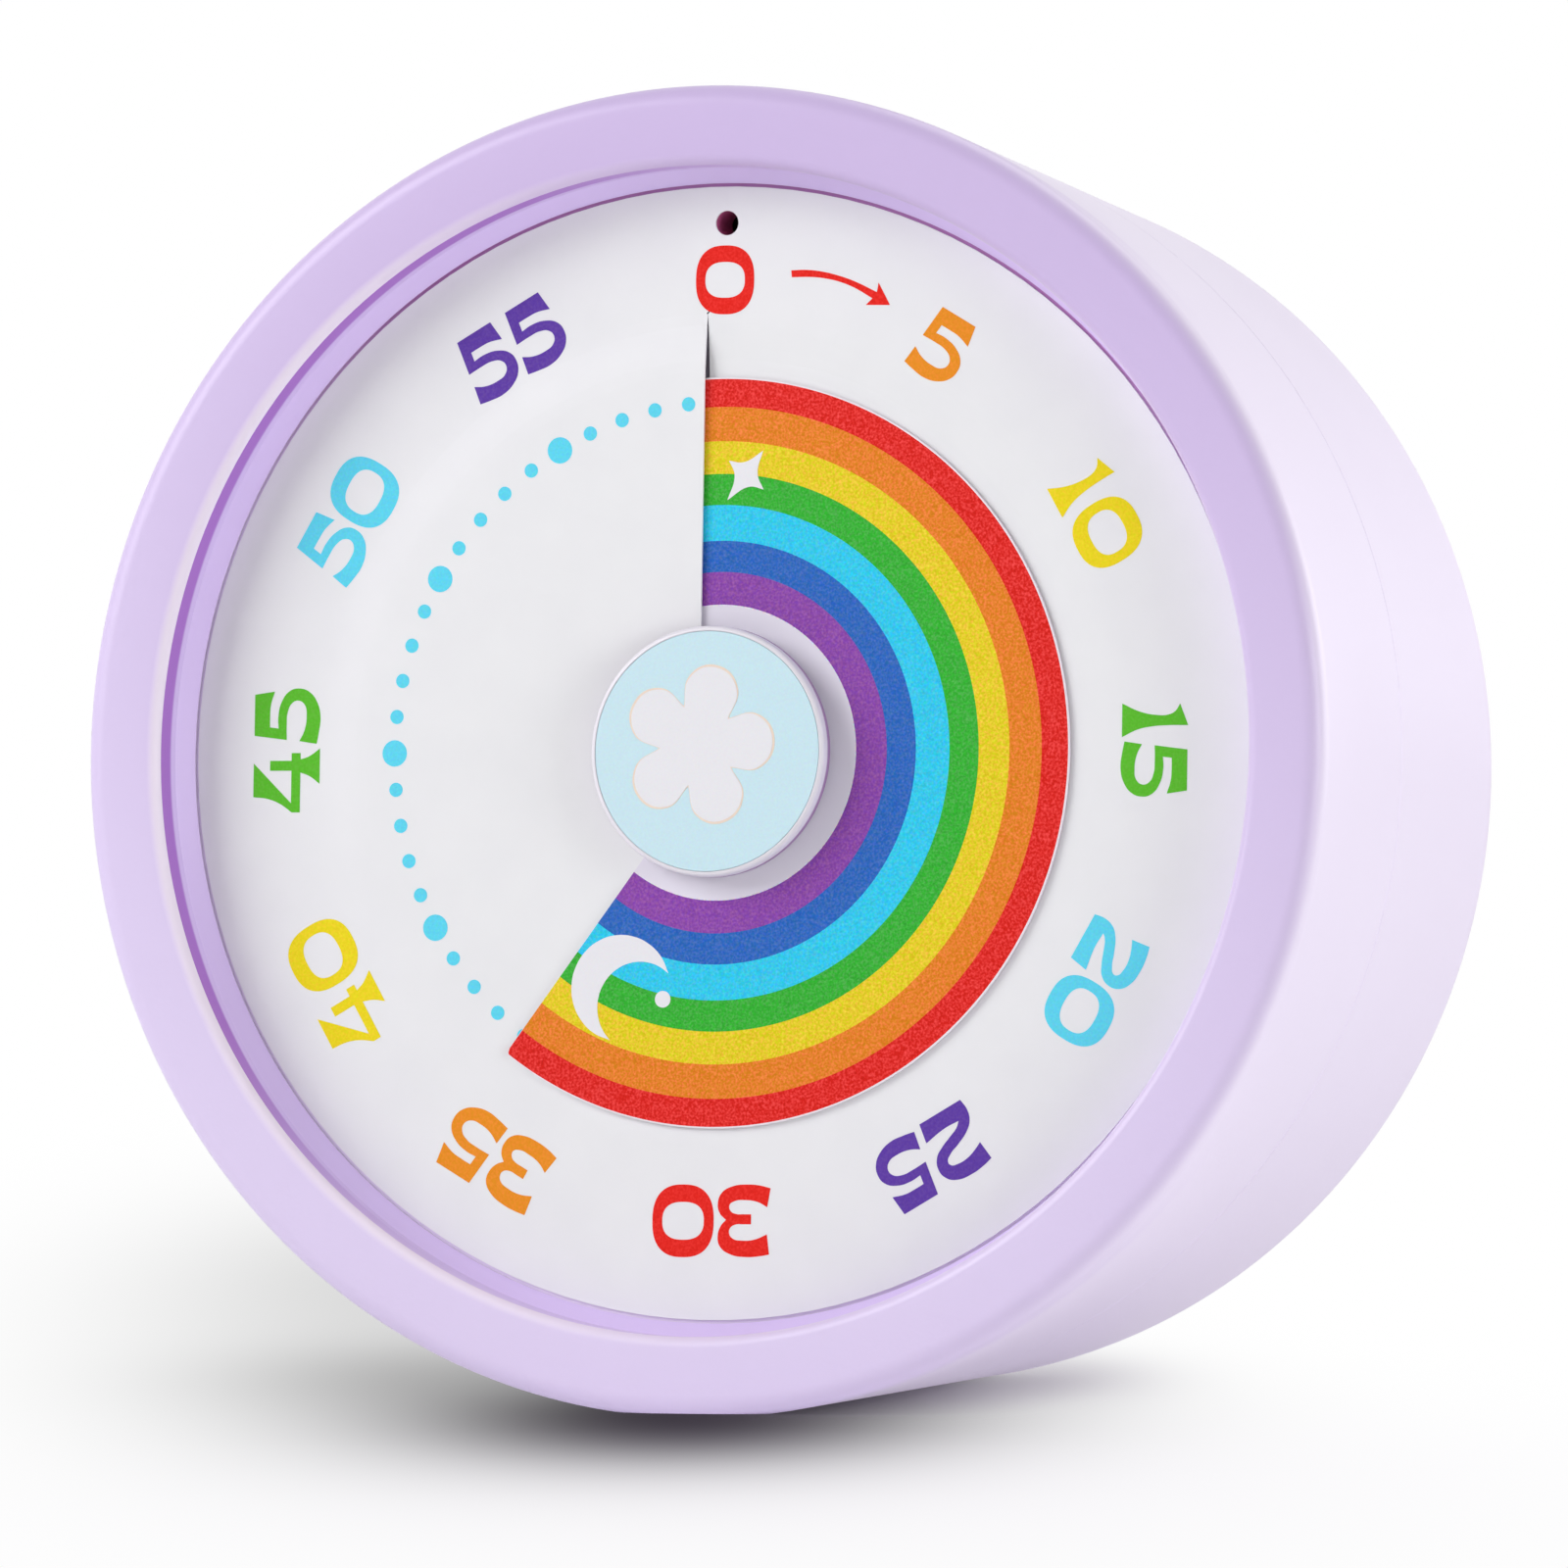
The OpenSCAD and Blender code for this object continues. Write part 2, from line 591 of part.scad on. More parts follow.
module movement_housing() color("#e6e8ea") standing() difference() {
    union() {
        difference() {
            rounded_plate(housing_x, housing_y, [back_plate_z[0], cover_z[0]], 3);
            rounded_plate(grown(housing_x, -housing_wall), grown(housing_y, -housing_wall),
                [back_plate_z[1], cover_z[0] + 1], 1.8);
        }
        for (p = movement_screw_at) translate(p)
            post(movement_column_r, [back_plate_z[0], cover_z[0]]);
        for (p = board_screw_at) translate(p) post(2, [board_z[1], back_plate_z[0] + TINY]);
    }
    for (p = movement_screw_at) translate(p) {
        post(screw_r + seat_gap, [back_plate_z[0] - 1, cover_z[0] + 1]);
        post(head_well_r, [back_plate_z[0] - 1, back_plate_z[1]]);
    }
    for (p = board_screw_at)
        translate(p) post(board_screw_r + running_gap, [board_z[1] - 1, back_plate_z[1] - 0.3]);
    pivot_bores([back_plate_z[0] + blind_pivot - 0.1, back_plate_z[1] + 1]);
    post(pivot_r + running_gap, [back_plate_z[0] + blind_pivot - 0.1, back_plate_z[1] + 1]);
    for (side = [-1, 1]) translate([coil_at[0] + side * (coil_len / 2 - 0.4), coil_at[1], 0])
        post(2 * lead_r, [back_plate_z[0] - 1, back_plate_z[1] + 1]);
}

module movement_screws() color("silver") standing() for (p = movement_screw_at) translate(p)
    screw(screw_r, head_well_r - seat_gap,
        [back_plate_z[0], back_plate_z[1], column_bore_tip_z - 0.2]);

// Leaf beside the cam: the cam's lobe comes round to it at zero minutes
module zero_contact() color("#c9a227") standing() {
    block([5.3, 5.6], [-5, 9], [cam_z[0], cam_z[1] + 0.2]);
    block([5.6, 8], [6, 9], [cam_z[0], cover_z[0]]);
}

// ---- Electrics -------------------------------------------------------------------------------

module circuit_board() color("#2f7d4f") standing() difference() {
    union() {
        rounded_plate(board_x, board_y, board_z, 1.5);
        rounded_plate(board_neck_x, [board_y[1] - 5, board_neck_y], board_z, 1);
    }
    for (p = board_screw_at) translate(p) post(screw_r + seat_gap, grown(board_z, 1));
}

module board_screws() color("silver") standing() for (p = board_screw_at) translate(p)
    screw(board_screw_r, 1.8, [board_z[0] - 1.1, board_z[0], back_plate_z[1] - 0.5]);

module control_chip() color("#202226") standing() {
    block([-3, 2], [6, 12], [board_z[0] - 1.4, board_z[0]]);
    for (side = [-1, 1], k = [0:3])
        translate([-0.5 + side * 2.9, 6.9 + k * 1.4, board_z[0] - 0.25])
            cube([1.2, 0.5, 0.5], center = true);
}

module buzzer() color("#26282c") standing() translate(buzzer_at) difference() {
    post(buzzer_r, [board_z[1], board_z[1] + buzzer_h]);
    post(1, [board_z[1] + buzzer_h - 2, board_z[1] + buzzer_h + 1]);
}

module switch_body() color("#30343a") standing() translate([switch_at[0], switch_at[1], 0])
    difference() {
        block([-5, 5], [-2.8, 2.8], [back_wall_z, back_wall_z + switch_h]);
        block([-4.2, 4.2], [-1.8, 1.8], [back_wall_z - 1, back_wall_z + 1.8]);
    }

module switch_slider() color("white") standing() translate([switch_at[0], switch_at[1], 0]) {
    left = -(switch_travel + nib_w) / 2;
    block([left, left + nib_w], [-nib_d / 2, nib_d / 2], [back_z + 0.2, back_wall_z + 0.6]);
    block([left - 0.5, left + nib_w + 0.5], [-1.6, 1.6], [back_wall_z + 0.1, back_wall_z + 1.6]);
}

// Stiff leads from the slide switch to the board
module switch_leads() color("#d0b060") standing() translate([switch_at[0], switch_at[1], 0])
    for (k = [-1:1]) translate([k * 2, 0, 0]) post(lead_r, [back_wall_z + switch_h, board_z[0]]);

module cell() color("#3a3d44") standing() translate([cell_x0(), cell_y, cell_z])
    rotate([0, 90, 0]) {
        cylinder(r = cell_r, h = cell_len - button_h);
        cylinder(r = button_r, h = cell_len);
    }

function cell_x0() = bay_x - strip_t - cell_len;

// A wire wound along x, from radius r0 to radius r1
module wire_coil(x0, x1, r0, r1, turns, wire_r) {
    sides = 8;
    steps = turns * 16;
    points = [for (i = [0:steps], k = [0:sides - 1])
        let (t = i / steps, a = 360 * turns * t, b = 360 * k / sides,
             r = r0 + (r1 - r0) * t + wire_r * cos(b))
        [x0 + (x1 - x0) * t + wire_r * sin(b), r * cos(a), r * sin(a)]];
    function id(i, k) = i * sides + k % sides;
    polyhedron(points, concat(
        [[for (k = [0:sides - 1]) id(0, k)]],
        [for (i = [0:steps - 1], k = [0:sides - 1]) [id(i, k), id(i + 1, k), id(i + 1, k + 1)]],
        [for (i = [0:steps - 1], k = [0:sides - 1]) [id(i, k), id(i + 1, k + 1), id(i, k + 1)]],
        [[for (k = [0:sides - 1]) id(steps, sides - 1 - k)]]));
}

module contact_spring() color("silver") standing() translate([0, cell_y, cell_z])
    wire_coil(-bay_x + strip_t + 0.4, cell_x0() - 0.4, contact_half - 0.4, button_r, 4, 0.35);

// Plate at one end of the bay, with a leg that reaches the board
module battery_contact(side, foot_x) {
    leg_y = [cell_y - 1.5, cell_y + 1.5];
    inner_x = side * (bay_x - strip_t);
    outer_x = side * bay_x;
    x = [min(inner_x, outer_x), max(inner_x, outer_x)];
    block(x, [cell_y - contact_half, cell_y + contact_half],
        [cell_z - contact_half, cell_z + contact_half]);
    block(x, leg_y, [cell_z, board_z[0]]);
    block([min(outer_x, foot_x), max(outer_x, foot_x)], leg_y, [board_z[0] - strip_t, board_z[0]]);
}

module contact_minus() color("silver") standing() battery_contact(-1, board_x[0] + 2);

module contact_plus() color("silver") standing() battery_contact(1, board_x[1] - 2);

module battery_door() color("#d3c0e8") standing() difference() {
    edge = door_lip - slide_gap;
    rounded_plate(bay_span_x(edge), bay_span_y(edge), [back_z, back_z + door_t],
        1.5 - slide_gap);
    for (i = [-2:2]) translate([i * 1.8, cell_y + 4, back_z]) cube([0.8, 4, 0.5], center = true);
}

front_case();
rear_case();
case_screws();
dial_sheet();
rainbow_disc();
disc_hub();
knob();
knob_label();
spindle();
spindle_bush();
clutch_spring();
retaining_clip();
centre_wheel();
third_wheel();
second_wheel();
rotor();
stator();
coil();
movement_cover();
movement_housing();
movement_screws();
zero_contact();
circuit_board();
board_screws();
control_chip();
buzzer();
switch_body();
switch_slider();
switch_leads();
cell();
contact_spring();
contact_minus();
contact_plus();
battery_door();
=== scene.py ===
# %% [markdown]
# # A round visual countdown timer
# A lavender case holds a white minute dial that is slit from its middle to just under the 0. A
# rainbow disc with a slit of its own is threaded through it and turns with the low knob. The CAD
# model gives every solid its true place; this lesson gives the timer its moulded shells, its
# printing, its finishes, its light and its camera.

# %% Load the frame
import json
import math
import bpy
from mathutils import Matrix, Vector

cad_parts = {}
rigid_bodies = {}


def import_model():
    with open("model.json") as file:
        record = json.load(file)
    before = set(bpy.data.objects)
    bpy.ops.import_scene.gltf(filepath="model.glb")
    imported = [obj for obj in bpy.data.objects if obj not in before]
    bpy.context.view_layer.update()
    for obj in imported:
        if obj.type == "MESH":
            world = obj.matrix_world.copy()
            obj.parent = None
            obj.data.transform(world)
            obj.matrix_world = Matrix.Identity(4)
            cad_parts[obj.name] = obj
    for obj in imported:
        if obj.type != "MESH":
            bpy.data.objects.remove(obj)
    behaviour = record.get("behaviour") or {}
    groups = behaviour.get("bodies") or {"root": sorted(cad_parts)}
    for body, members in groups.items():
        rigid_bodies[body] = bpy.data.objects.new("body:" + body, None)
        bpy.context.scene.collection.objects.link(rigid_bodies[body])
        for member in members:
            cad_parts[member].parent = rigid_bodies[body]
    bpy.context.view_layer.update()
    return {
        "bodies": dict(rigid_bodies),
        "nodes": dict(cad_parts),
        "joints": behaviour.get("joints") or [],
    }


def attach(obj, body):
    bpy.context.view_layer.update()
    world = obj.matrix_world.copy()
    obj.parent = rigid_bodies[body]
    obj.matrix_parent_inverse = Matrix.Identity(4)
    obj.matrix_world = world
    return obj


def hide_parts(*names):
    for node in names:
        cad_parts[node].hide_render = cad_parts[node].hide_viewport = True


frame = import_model()
bpy.ops.object.select_all(action="DESELECT")
print("bodies:", ", ".join(sorted(frame["bodies"])))

# %% [markdown]
# ## The timer's own frame
# The case lies on its tapered side, so the dial leans back by about four and a half degrees.
# Drawing straight in that leaning frame would be awkward. Each piece is drawn instead as if the
# timer lay on its back, in millimetres: x to the right, y up the dial, z out of the dial, with
# z = 0 on the dial. One matrix then tips it up and scales it to metres, and it is applied to the
# mesh, so that the finished object itself stays at the origin. The knob's joint tells where the
# dial's middle is and how far it leans, since the knob turns about the dial's own axis.

# %% The timer's own frame
MM = 0.001
knob_turn = next(joint for joint in frame["joints"] if joint["name"] == "knob_turn")
into_dial = Vector(knob_turn["axis"])
LEAN = math.atan2(-into_dial.z, into_dial.y)
DIAL_CENTRE = Vector(knob_turn["pos_m"]) / MM
STANDING = (Matrix.Scale(MM, 4) @ Matrix.Translation(DIAL_CENTRE)
            @ Matrix.Rotation(math.pi / 2 - LEAN, 4, "X"))
LYING = STANDING.inverted()
TURNED = STANDING.to_3x3().normalized()


def clock(radius, degrees):
    """The point at a radius, at an angle clockwise from the 0."""
    a = math.radians(degrees)
    return (radius * math.sin(a), radius * math.cos(a))


print("the dial leans back", round(math.degrees(LEAN), 2), "degrees")

# %% [markdown]
# ## Modelling helpers
# The shells and the knob are turned shapes. The quickest way to a turned shape by hand is to draw
# half its section and spin it round the axis: one vertex is extruded from corner to corner, and
# the spin operator sweeps the line. The doubles at the seam and on the axis are merged, and the
# normals are made to point outwards. Plain boxes and cylinders serve as tools that cut openings.

# %% Modelling helpers
WELD = 0.0005


def pick(*pieces):
    """Selects these pieces alone and makes the first one active."""
    bpy.ops.object.select_all(action="DESELECT")
    for piece in pieces:
        piece.select_set(True)
    bpy.context.view_layer.objects.active = pieces[0]


def close_mesh():
    """Merges doubles in the mesh being edited, points its faces outwards and ends the editing."""
    bpy.ops.mesh.select_all(action="SELECT")
    bpy.ops.mesh.remove_doubles(threshold=WELD)
    bpy.ops.mesh.normals_make_consistent(inside=False)
    bpy.ops.object.mode_set(mode="OBJECT")


def about(middle, half):
    """The two ends of a stretch, from its middle and half its length."""
    return (middle - half, middle + half)


def arc(x, z, radius, first, last, steps):
    """Points of an arc in a section, from one angle to another."""
    turn = [math.radians(first + (last - first) * k / steps) for k in range(steps + 1)]
    return [(x + radius * math.cos(a), z + radius * math.sin(a)) for a in turn]


def turned_solid(section, steps=240):
    """Spins a closed or axis-to-axis section of (x, z) corners round the z axis."""
    bpy.ops.mesh.primitive_plane_add(size=1, location=(0, 0, 0))
    piece = bpy.context.object
    bpy.ops.object.mode_set(mode="EDIT")
    bpy.ops.mesh.select_all(action="SELECT")
    bpy.ops.mesh.merge(type="CENTER")
    bpy.ops.transform.translate(value=(section[0][0], 0, section[0][1]))
    for (x0, z0), (x1, z1) in zip(section, section[1:]):
        stride = (x1 - x0, 0, z1 - z0)
        bpy.ops.mesh.extrude_region_move(TRANSFORM_OT_translate={"value": stride})
    bpy.ops.mesh.select_all(action="SELECT")
    bpy.ops.mesh.spin(steps=steps, angle=math.tau, center=(0, 0, 0), axis=(0, 0, 1))
    close_mesh()
    return piece


def block(x, y, z, bevel=0.0):
    """A box between two values on each axis, its edges rounded by a bevel."""
    bpy.ops.mesh.primitive_cube_add(size=1, location=[sum(s) / 2 for s in (x, y, z)],
                                    scale=[s[1] - s[0] for s in (x, y, z)])
    bpy.ops.object.transform_apply(location=True, rotation=False, scale=True)
    piece = bpy.context.object
    if bevel:
        soften(piece, bevel)
    return piece


def post(radius, z, at=(0, 0), sides=64):
    """An upright cylinder between two heights."""
    bpy.ops.mesh.primitive_cylinder_add(vertices=sides, radius=radius, depth=z[1] - z[0],
                                        location=(at[0], at[1], (z[0] + z[1]) / 2))
    bpy.ops.object.transform_apply(location=True, rotation=False, scale=False)
    return bpy.context.object


def soften(piece, width, segments=3, angle=35):
    """Rounds the edges that turn by more than an angle."""
    bevel = piece.modifiers.new("Soft edges", "BEVEL")
    bevel.width, bevel.segments = width, segments
    bevel.limit_method, bevel.angle_limit = "ANGLE", math.radians(angle)
    apply_modifiers(piece)


def apply_modifiers(piece):
    """Makes the piece's modifiers part of its mesh."""
    pick(piece)
    for modifier in list(piece.modifiers):
        bpy.ops.object.modifier_apply(modifier=modifier.name)


def carve(piece, tools, operation="DIFFERENCE"):
    """Cuts the tools away from a piece, or joins them to it, and removes the tools."""
    for tool in tools:
        cut = piece.modifiers.new("Carve", "BOOLEAN")
        cut.operation, cut.object, cut.solver = operation, tool, "EXACT"
        apply_modifiers(piece)
        bpy.data.objects.remove(tool)


def joined(pieces):
    """Several pieces made one object."""
    pick(*pieces)
    bpy.ops.object.join()
    return pieces[0]


def stand(piece, name, body, materials, smooth=30):
    """Tips a finished piece up into its place, and ties it to its body and finishes."""
    pick(piece)
    bpy.ops.object.transform_apply(location=True, rotation=True, scale=True)
    if smooth:
        bpy.ops.object.shade_smooth_by_angle(angle=math.radians(smooth))
    piece.data.transform(STANDING)
    piece.name = piece.data.name = name
    for material in materials:
        piece.data.materials.append(material)
    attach(piece, body)
    print(name, len(piece.data.polygons), "faces")
    return piece


# %% [markdown]
# ## Shared effects
# Three effects serve more than one finish, so each is a node group. "Dial place" turns the
# object's own coordinates back into the dial's frame and gives the distance from the axis, the
# angle clockwise from the 0 and the height over the dial, which is all that a ring pattern needs.
# "Print grain" is the fine speckle of a printed film. "Moulded skin" is the faint unevenness of a
# satin moulding.

# %% Node helpers
class Bench:
    """Adds and links nodes in one tree, so that a recipe reads from left to right."""

    def __init__(self, tree):
        self.tree = tree

    def add(self, kind, **settings):
        node = self.tree.nodes.new(kind)
        for key, value in settings.items():
            setattr(node, key, value)
        return node

    def join(self, a, b):
        self.tree.links.new(a, b)

    def math(self, operation, *values, clamp=False):
        node = self.add("ShaderNodeMath", operation=operation, use_clamp=clamp)
        for socket, value in zip(node.inputs, values):
            if isinstance(value, (int, float)):
                socket.default_value = value
            else:
                self.join(value, socket)
        return node.outputs[0]

    def blend(self, factor, a, b, kind="MIX"):
        node = self.add("ShaderNodeMix", data_type="RGBA", blend_type=kind)
        for socket, value in zip((node.inputs[0], node.inputs[6], node.inputs[7]), (factor, a, b)):
            if isinstance(value, (int, float, tuple)):
                socket.default_value = value
            else:
                self.join(value, socket)
        return node.outputs[2]


def effect(name, inputs, outputs, colour=None):
    """An empty node group with named number sockets, and a colour output if one is named."""
    group = bpy.data.node_groups.new(name, "ShaderNodeTree")
    for label, value in inputs:
        socket = group.interface.new_socket(name=label, in_out="INPUT",
                                            socket_type="NodeSocketFloat")
        socket.default_value = value
    for label in outputs:
        group.interface.new_socket(name=label, in_out="OUTPUT", socket_type="NodeSocketFloat")
    if colour:
        group.interface.new_socket(name=colour, in_out="OUTPUT", socket_type="NodeSocketColor")
    bench = Bench(group)
    return group, bench, bench.add("NodeGroupInput"), bench.add("NodeGroupOutput")


# %% Dial place
dial_place, b, _, out = effect("Dial place", [], ["Radius", "Clock angle", "Z"])
place = b.add("ShaderNodeTexCoord")
untip = b.add("ShaderNodeMapping", vector_type="POINT")
back = TURNED.inverted()
untip.inputs["Scale"].default_value = (1 / MM,) * 3
untip.inputs["Rotation"].default_value = back.to_euler("XYZ")
untip.inputs["Location"].default_value = -(back @ DIAL_CENTRE)
b.join(place.outputs["Object"], untip.inputs["Vector"])
split = b.add("ShaderNodeSeparateXYZ")
b.join(untip.outputs[0], split.inputs[0])
x, y, z = split.outputs
b.join(b.math("SQRT", b.math("ADD", b.math("MULTIPLY", x, x), b.math("MULTIPLY", y, y))),
       out.inputs["Radius"])
clockwise = b.math("MULTIPLY", b.math("ARCTAN2", x, y), 180 / math.pi)
b.join(b.math("FLOORED_MODULO", clockwise, 360.0), out.inputs["Clock angle"])
b.join(z, out.inputs["Z"])

# %% Print grain
SPECK_FROM, SPECK_SHARE, MOTTLE_PER_M = 0.4, 0.5, 260.0
print_grain, b, given, out = effect("Print grain", [("Pitch mm", 0.15), ("Strength", 0.5)],
                                    ["Mottle", "Speck"], "Tint")
place = b.add("ShaderNodeTexCoord")
fine = b.add("ShaderNodeTexNoise", noise_dimensions="3D")
fine.inputs["Detail"].default_value = 1.0
b.join(place.outputs["Object"], fine.inputs["Vector"])
b.join(b.math("DIVIDE", 1 / MM, given.outputs[0]), fine.inputs["Scale"])
spread = b.add("ShaderNodeVectorMath", operation="MULTIPLY_ADD")
b.join(fine.outputs["Color"], spread.inputs[0])
b.join(b.math("MULTIPLY", given.outputs[1], 2.0), spread.inputs[1])
b.join(b.math("SUBTRACT", 1.0, given.outputs[1]), spread.inputs[2])
b.join(spread.outputs[0], out.inputs["Tint"])
specks = b.math("SUBTRACT", fine.outputs["Fac"], SPECK_FROM)
share = b.math("MULTIPLY", given.outputs[1], SPECK_SHARE)
b.join(b.math("MULTIPLY", specks, share, clamp=True), out.inputs["Speck"])
broad = b.add("ShaderNodeTexNoise", noise_dimensions="3D")
broad.inputs["Scale"].default_value = MOTTLE_PER_M
b.join(place.outputs["Object"], broad.inputs["Vector"])
b.join(broad.outputs["Fac"], out.inputs["Mottle"])

# %% Moulded skin
FLOW_PER_M = 45.0
moulded_skin, b, given, out = effect("Moulded skin", [("Texture per m", 2500.0)],
                                     ["Height", "Sheen"])
place = b.add("ShaderNodeTexCoord")
pores = b.add("ShaderNodeTexNoise")
pores.inputs["Detail"].default_value = 3.0
b.join(place.outputs["Object"], pores.inputs["Vector"])
b.join(given.outputs[0], pores.inputs["Scale"])
flow = b.add("ShaderNodeTexNoise")
flow.inputs["Scale"].default_value = FLOW_PER_M
b.join(place.outputs["Object"], flow.inputs["Vector"])
b.join(pores.outputs["Fac"], out.inputs["Height"])
b.join(flow.outputs["Fac"], out.inputs["Sheen"])
print("shared effects:", dial_place.name, print_grain.name, moulded_skin.name)


# %% [markdown]
# ## Finishes
# Colours are written as they look on screen and turned into the linear values that a shader wants.
# A satin moulding is a plain shader with a faint bump and a roughness that drifts over the
# surface. A print is a coloured ink that carries the grain and lets specks of the film through.

# %% Finish helpers
def ink(*levels):
    """A screen colour, red, green and blue from 0 to 255, as a linear one."""
    return tuple(level / 255 / 12.92 if level <= 10 else ((level / 255 + 0.055) / 1.055) ** 2.4
                 for level in levels) + (1.0,)


def finish(name):
    """A new material, a bench for its nodes, and its shader."""
    material = bpy.data.materials.new(name)
    material.use_nodes = True
    b = Bench(material.node_tree)
    shader = material.node_tree.nodes["Principled BSDF"]
    return material, b, shader


def group_node(b, group, **values):
    """A shared effect placed in a material, with values for its named sockets."""
    node = b.add("ShaderNodeGroup", node_tree=group)
    for key, value in values.items():
        node.inputs[key.replace("_", " ")].default_value = value
    return node


def uneven(b, mask, middle, spread):
    """A value that a mask from 0 to 1 moves up and down round its middle."""
    return b.math("ADD", b.math("MULTIPLY", mask, spread), middle - spread / 2)


SHEEN_SPREAD, PORE_STRENGTH = 0.12, 0.35


def moulding(name, colour, roughness, drift, depth=0.03, texture=2500.0, metallic=0.0, coat=0.0,
             shade=None):
    """A moulded, cast or drawn surface: colour that drifts a little, soft bump, uneven sheen."""
    material, b, shader = finish(name)
    skin = group_node(b, moulded_skin, Texture_per_m=texture)
    if shade:
        colour = shade(b, colour)
    worn = b.math("SUBTRACT", 1.0, b.math("MULTIPLY", skin.outputs["Sheen"], drift))
    b.join(b.blend(1.0, colour, worn, "MULTIPLY"), shader.inputs["Base Color"])
    b.join(uneven(b, skin.outputs["Sheen"], roughness, SHEEN_SPREAD), shader.inputs["Roughness"])
    shader.inputs["Metallic"].default_value = metallic
    shader.inputs["Coat Weight"].default_value = coat
    bump = b.add("ShaderNodeBump")
    bump.inputs["Strength"].default_value = PORE_STRENGTH
    bump.inputs["Distance"].default_value = depth * MM
    b.join(skin.outputs["Height"], bump.inputs["Height"])
    b.join(bump.outputs[0], shader.inputs["Normal"])
    return material


FILM_WHITE, PRINT_SHINE, PRINT_SPREAD = ink(236, 234, 240), 0.2, 0.1


def printed(name, colour, roughness, strength):
    """An ink on the film: the colour with the fine speckle of the printing screen."""
    material, b, shader = finish(name)
    grain = group_node(b, print_grain, Strength=strength)
    tinted = b.blend(1.0, colour, grain.outputs["Tint"], "MULTIPLY")
    b.join(b.blend(grain.outputs["Speck"], tinted, FILM_WHITE), shader.inputs["Base Color"])
    b.join(uneven(b, grain.outputs["Mottle"], roughness, PRINT_SPREAD), shader.inputs["Roughness"])
    shader.inputs["Specular IOR Level"].default_value = PRINT_SHINE
    return material


# %% [markdown]
# ## Painted light and shade on the plastic
# Light and shade are painted into the colour of the lavender plastic, mixed here by height, by
# radius and by clock angle. The top of the rim is painted in shade, and its foot and the side of
# the case in light. Two rounded edges carry painted highlights. The wall in the groove is painted
# in shade, and so is the line round the dial at the top.

# %% Painted light and shade on the case plastic, by place
# clock angles of painted light and shade: the middle, how far to either side it is full, and where
# it has gone
SHADED_TOP_AT, RIGHT_HIGHLIGHT_AT, LIP_HIGHLIGHT_AT = (10, 20, 150), (88, 35, 80), (262, 45, 105)
WALL_SHADE_AT, GAP_SHADE_AT = (290, 45, 85), (5, 35, 75)
# heights and radii between which a painted light or shade comes or goes
SIDE_Z, FILLET_Z, LIP_Z, WALL_Z = (-0.5, 3.5), (2.9, 3.78), (2.6, 3.1), (1.6, 2.0)
LIP_EDGE_R, KNOB_FOOT_Z, KNOB_SIDE_R = (35.95, 35.4), (1.45, 1.25), (7.4, 7.5)
# painted colours: the rim's shaded top and lit foot, the lit side, the lip's highlight, the lit
# ledge, the gap where its painted shade fades, and the knob's shaded foot
SHADED_RIM_TOP, LIT_RIM_FOOT = ink(210, 189, 233), ink(227, 212, 246)
LIT_SIDE, LIT_LIP_EDGE = ink(240, 230, 251), ink(250, 238, 255)
LIT_LEDGE, GAP_PALE, KNOB_FOOT = ink(226, 204, 252), ink(232, 218, 244), ink(160, 122, 168)


def rise(b, value, first, last):
    """Goes smoothly from 0 to 1 on the way from one value to another."""
    node = b.add("ShaderNodeMapRange", interpolation_type="SMOOTHSTEP")
    node.inputs["From Min"].default_value, node.inputs["From Max"].default_value = first, last
    b.join(value, node.inputs["Value"])
    return node.outputs[0]


def fall(b, value, first, last):
    """Goes smoothly from 1 to 0 on the way from one value to another."""
    return b.math("SUBTRACT", 1.0, rise(b, value, first, last))


def around(b, angle, middle, full, none):
    """1 within `full` degrees of a clock angle, 0 beyond `none` degrees."""
    off = b.math("ABSOLUTE", b.math("WRAP", b.math("SUBTRACT", angle, middle), 180.0, -180.0))
    return fall(b, off, full, none)


def case_by_place(b, colour):
    """Painted light and shade: shade at the top of the rim, light at its foot and on the side,
    highlights on two rounded edges.
    """
    spot = group_node(b, dial_place)
    angle, height = spot.outputs["Clock angle"], spot.outputs["Z"]
    # painted shade at the top of the rim, painted light on the rest of it
    colour = b.blend(around(b, angle, *SHADED_TOP_AT), LIT_RIM_FOOT, colour)
    # painted highlight on the right fillet, and painted light on the side
    right_highlight = b.math("MULTIPLY", around(b, angle, *RIGHT_HIGHLIGHT_AT), fall(b, height, *FILLET_Z))
    side = b.math("MAXIMUM", fall(b, height, *SIDE_Z), right_highlight)
    colour = b.blend(side, colour, LIT_SIDE)
    # painted highlight on the inner edge of the lip, on the left
    inner_edge = b.math("MULTIPLY", rise(b, spot.outputs["Radius"], *LIP_EDGE_R),
                        rise(b, height, *LIP_Z))
    lip_highlight = b.math("MULTIPLY", inner_edge, around(b, angle, *LIP_HIGHLIGHT_AT))
    return b.blend(lip_highlight, colour, LIT_LIP_EDGE)


def wall_by_place(b, colour):
    """Painted shade under the lip on the upper left; the lit ledge colour low down and elsewhere.
    """
    spot = group_node(b, dial_place)
    deep = b.math("MULTIPLY", around(b, spot.outputs["Clock angle"], *WALL_SHADE_AT),
                  rise(b, spot.outputs["Z"], *WALL_Z))
    return b.blend(deep, LIT_LEDGE, colour)


def gap_by_place(b, colour):
    """Painted shade: the dark line round the dial is full at the top and fades out down both sides.
    """
    spot = group_node(b, dial_place)
    return b.blend(around(b, spot.outputs["Clock angle"], *GAP_SHADE_AT), GAP_PALE, colour)


def knob_by_place(b, colour):
    """The foot of the knob's side lies in the shade of its own edge."""
    spot = group_node(b, dial_place)
    foot = b.math("MULTIPLY", rise(b, spot.outputs["Z"], *KNOB_FOOT_Z),
                  rise(b, spot.outputs["Radius"], *KNOB_SIDE_R))
    return b.blend(foot, colour, KNOB_FOOT)
